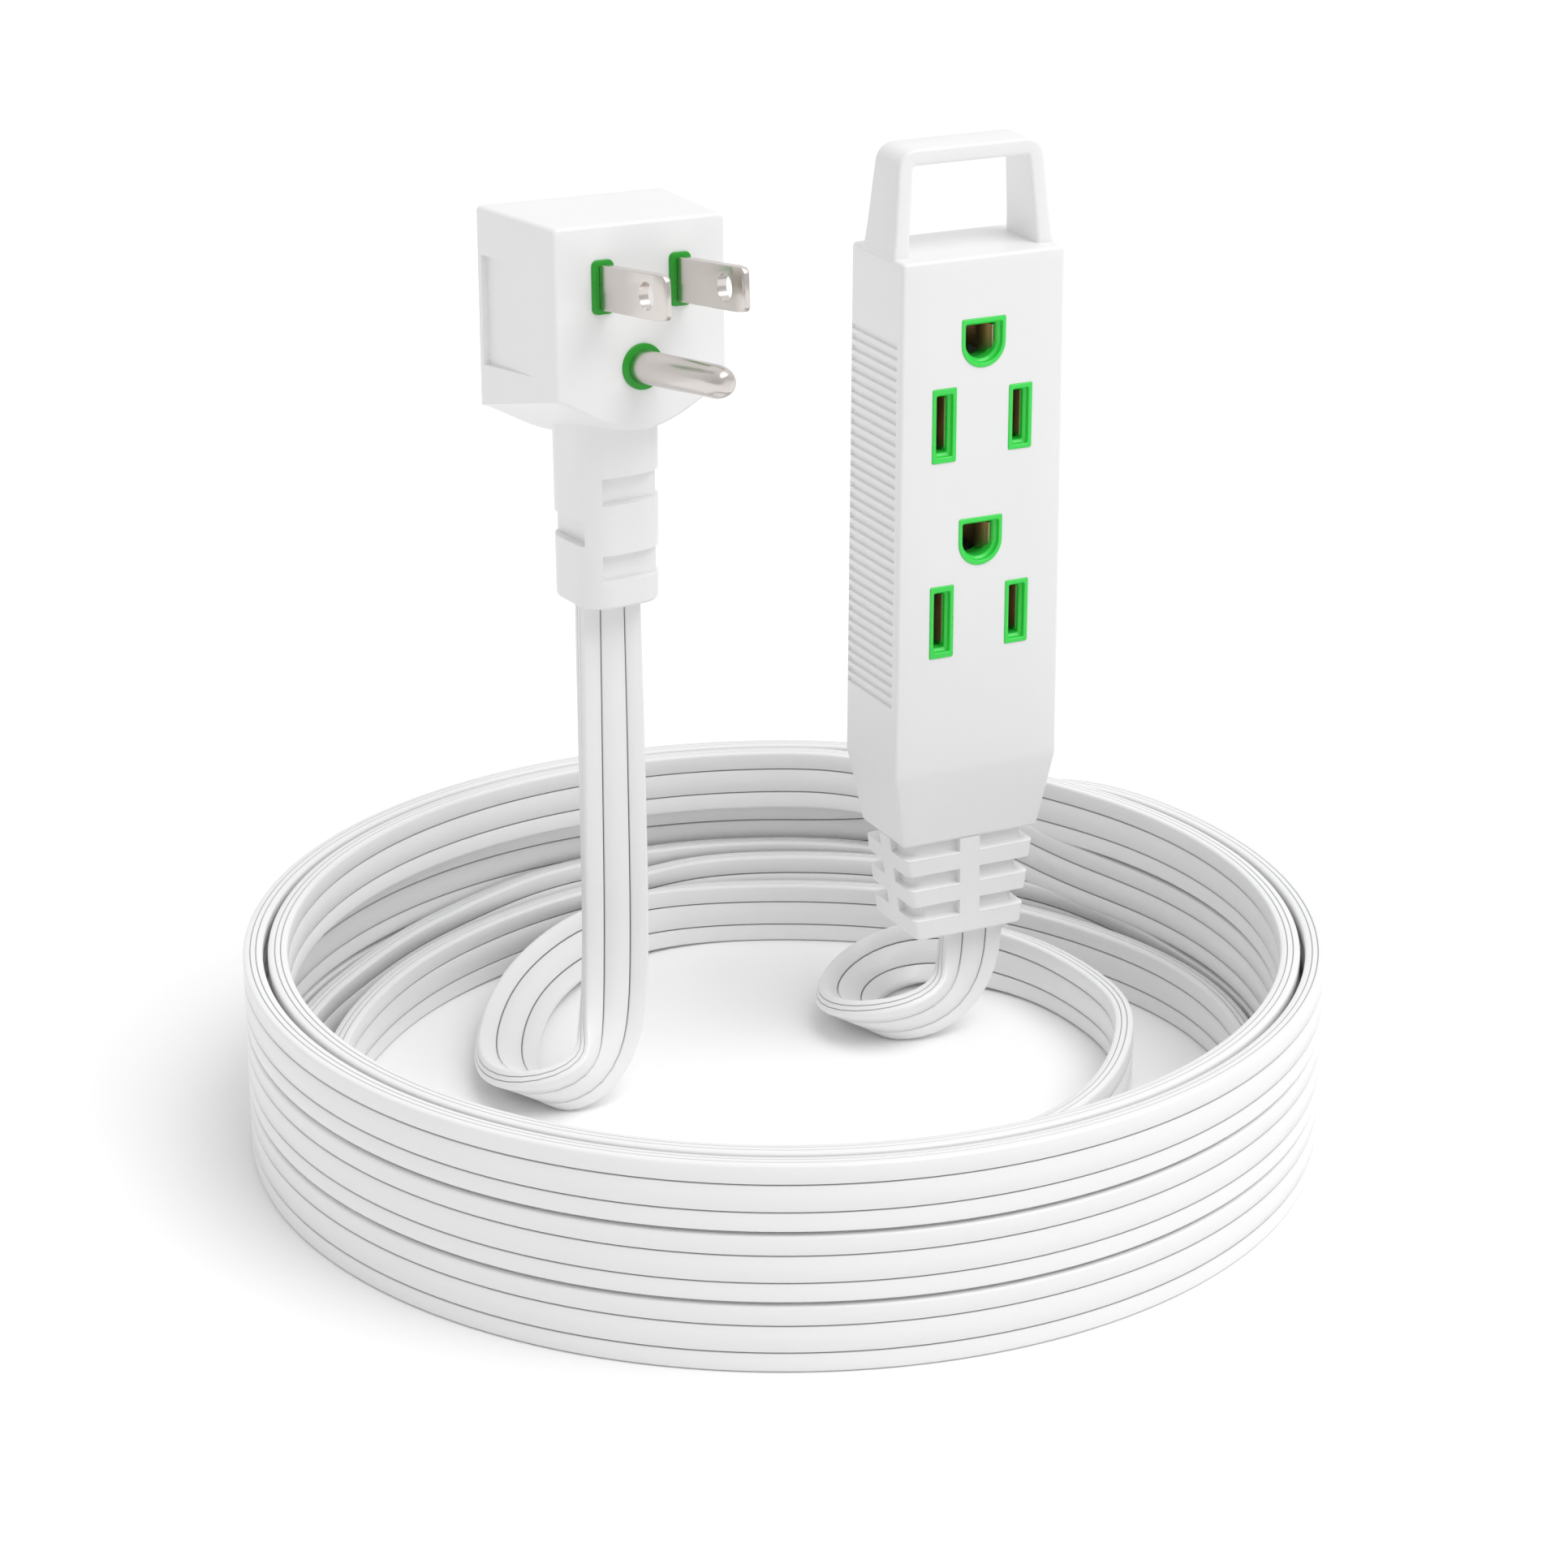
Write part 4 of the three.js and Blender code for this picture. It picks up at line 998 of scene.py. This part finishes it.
def blade_mesh(x):
    """A flat blade: rounded corners at the tip, both faces tapered towards it, and a round hole."""
    half, thick = BLADE_HALF_WIDTH, BLADE_HALF_THICKNESS
    spots = [
        (PRONG_BACK, half, thick), (-15.3, half, thick), (-15.6, half, thick - 0.03),
        (-17.3, half - 0.12, 0.5), (-17.8, half - 0.55, 0.45), (-BLADE_LENGTH, half - 1.0, 0.36),
    ]
    rings = [
        [(x + u, y, v) for u, v in rounded_rectangle(2 * t, 2 * h, 0.12, 3)]
        for y, h, t in spots
    ]
    hole = loft("hole", [[(x + end, y, z) for y, z in circle(1.95, 40, -13.2)] for end in (-2, 2)])
    return cut(loft("blade", rings), [hole])


def pin_mesh():
    """The ground pin: a round bar with a bullet nose and a small flat tip."""
    shoulder = -PIN_LENGTH + PIN_NOSE
    profile = [(PRONG_BACK, PIN_RADIUS), (shoulder, PIN_RADIUS)]
    for i in range(1, 11):
        a = math.radians(90 * i / 10)
        profile.append((shoulder - PIN_NOSE * math.sin(a), mix(PIN_TIP, PIN_RADIUS, math.cos(a) ** 0.8)))
    return loft("pin", [[(x, y, z) for x, z in pin_circle(r)] for y, r in profile])


def make_prongs():
    made = []
    for name, node, mesh in (
        ("left_blade", "neutral_blade", blade_mesh(-HALF_SPACING)),
        ("right_blade", "line_blade", blade_mesh(HALF_SPACING)),
        ("round_pin", "ground_pin", pin_mesh()),
    ):
        obj = add_object(name, moved(mesh, PRONG_TURN), NICKEL, 30)
        if name != "round_pin":
            bevelled(obj, 0.07)
        made.append(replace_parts(obj, node))
    return made


def make_plug_relief():
    """The neck: a rounded square sleeve with slots cut in turn into opposite pairs of its sides."""
    top, bottom = 3.4, -NECK_LENGTH
    rings = []
    # Each ring is (height, how far it draws in).
    spots = [(bottom, 0.7), (bottom + 0.12, 0.3), (bottom + 0.5, 0.0), (bottom + 4, 0.0)]
    spots += [(z, 0.0) for z in (-20.0, -11.0, -4.0, top)]
    for z, inset in spots:
        width = mix(13.3, 13.6, (z - bottom) / (top - bottom)) - 2 * inset
        rings.append([(x, y, z) for x, y in rounded_rectangle(width, width, 4.4 - inset, 10)])
    sleeve = loft("sleeve", rings)
    floor, reach, out = 5.2, 4.3, 9.0
    tools = []
    # Each slot is (low, high, side): side 1 wraps the front and right, side -1 the back and left.
    for low, high, side in ((-13.4, -9.3, 1), (-19.7, -16.0, -1), (-25.0, -20.9, 1)):
        for near_x, near_y in ((floor, -reach), (-reach, floor)):
            x0, x1 = sorted((side * near_x, side * out))
            y0, y1 = sorted((-side * near_y, -side * out))
            tools.append(block_mesh(x0, x1, y0, y1, low, high))
    sleeve = cut(sleeve, tools)
    obj = add_object("plug_neck", moved(sleeve, NECK_TURN), WHITE, 30)
    bevelled(obj, 0.12)
    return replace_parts(obj, "plug_strain_relief")


plug_shell = make_plug_body()
plug_bridge = make_collars()
prongs = make_prongs()
plug_neck = make_plug_relief()

# ---------------------------------------------------------------- CAD nodes that stay, with better finishes

KEPT = {
    "cord_clamp": WHITE,
    "neutral_crimp": BRASS, "line_crimp": BRASS, "ground_crimp": BRASS,
    "plug_neutral_crimp": BRASS, "plug_line_crimp": BRASS, "plug_ground_crimp": BRASS,
    "neutral_lead": WHITE_WIRE, "line_lead": BLACK_WIRE, "ground_lead": GREEN_WIRE,
    "clamp_screw_1": STEEL, "clamp_screw_2": STEEL,
    "cover_screw_1": STEEL, "cover_screw_2": STEEL, "cover_screw_3": STEEL, "cover_screw_4": STEEL,
}
for node_name, material in KEPT.items():
    mesh = NODES[node_name].data
    for index in range(len(mesh.materials)):
        mesh.materials[index] = material
    if not mesh.materials:
        mesh.materials.append(material)

# ---------------------------------------------------------------- floor and light


def floor_material():
    material, tree, shader = new_material("pale_floor")
    colour = blended(tree, noise(tree, 2.0), (0.97, 0.97, 0.97), (0.96, 0.96, 0.96))
    tree.links.new(colour, shader.inputs["Base Color"])
    shader.inputs["Roughness"].default_value = 0.9
    shader.inputs["Specular IOR Level"].default_value = 0.1
    return material


FLOOR_Z = -HOOK_HEIGHT * 0.001 - 0.00002
FLOOR_HALF = 6
floor_corners = [(x * FLOOR_HALF, y * FLOOR_HALF, FLOOR_Z) for x, y in ((-1, -1), (1, -1), (1, 1), (-1, 1))]
floor_mesh = bpy.data.meshes.new("floor")
floor_mesh.from_pydata(floor_corners, [], [(0, 1, 2, 3)])
floor_mesh.materials.append(floor_material())
floor = bpy.data.objects.new("floor", floor_mesh)
scene.collection.objects.link(floor)


def studio_world():
    """A white room, dimmer to the left, to the front and near the horizon."""
    world = bpy.data.worlds.new("studio")
    world.use_nodes = True
    tree = world.node_tree
    background = tree.nodes["Background"]
    background.inputs["Strength"].default_value = 1.0
    direction = tree.nodes.new("ShaderNodeTexCoord")
    axes = tree.nodes.new("ShaderNodeSeparateXYZ")
    tree.links.new(direction.outputs["Generated"], axes.inputs["Vector"])
    level = ranged(tree, axes.outputs["X"], 0.73, 0.98, -1, 1)
    for share in (
        ranged(tree, axes.outputs["Z"], 0.8, 0.92, 0, 0.75, "SMOOTHSTEP"),
        ranged(tree, axes.outputs["Y"], 0.78, 1.14, -1, 1),
    ):
        product = tree.nodes.new("ShaderNodeMath")
        product.operation = "MULTIPLY"
        tree.links.new(level, product.inputs[0])
        tree.links.new(share, product.inputs[1])
        level = product.outputs["Value"]
    tree.links.new(level, background.inputs["Color"])
    return world


scene.world = studio_world()


def sun(name, azimuth, elevation, spread, strength):
    """A soft distant light from that side: azimuth 0 is the front and 90 the right."""
    data = bpy.data.lights.new(name, "SUN")
    data.energy = strength
    data.angle = math.radians(spread)
    light = bpy.data.objects.new(name, data)
    a, e = math.radians(azimuth), math.radians(elevation)
    towards = Vector((math.sin(a) * math.cos(e), -math.cos(a) * math.cos(e), math.sin(e)))
    light.rotation_euler = towards.to_track_quat("Z", "Y").to_euler()
    scene.collection.objects.link(light)


sun("key", 34, 60, 45, 1.38)

scene.view_settings.view_transform = "Standard"
scene.view_settings.look = "None"
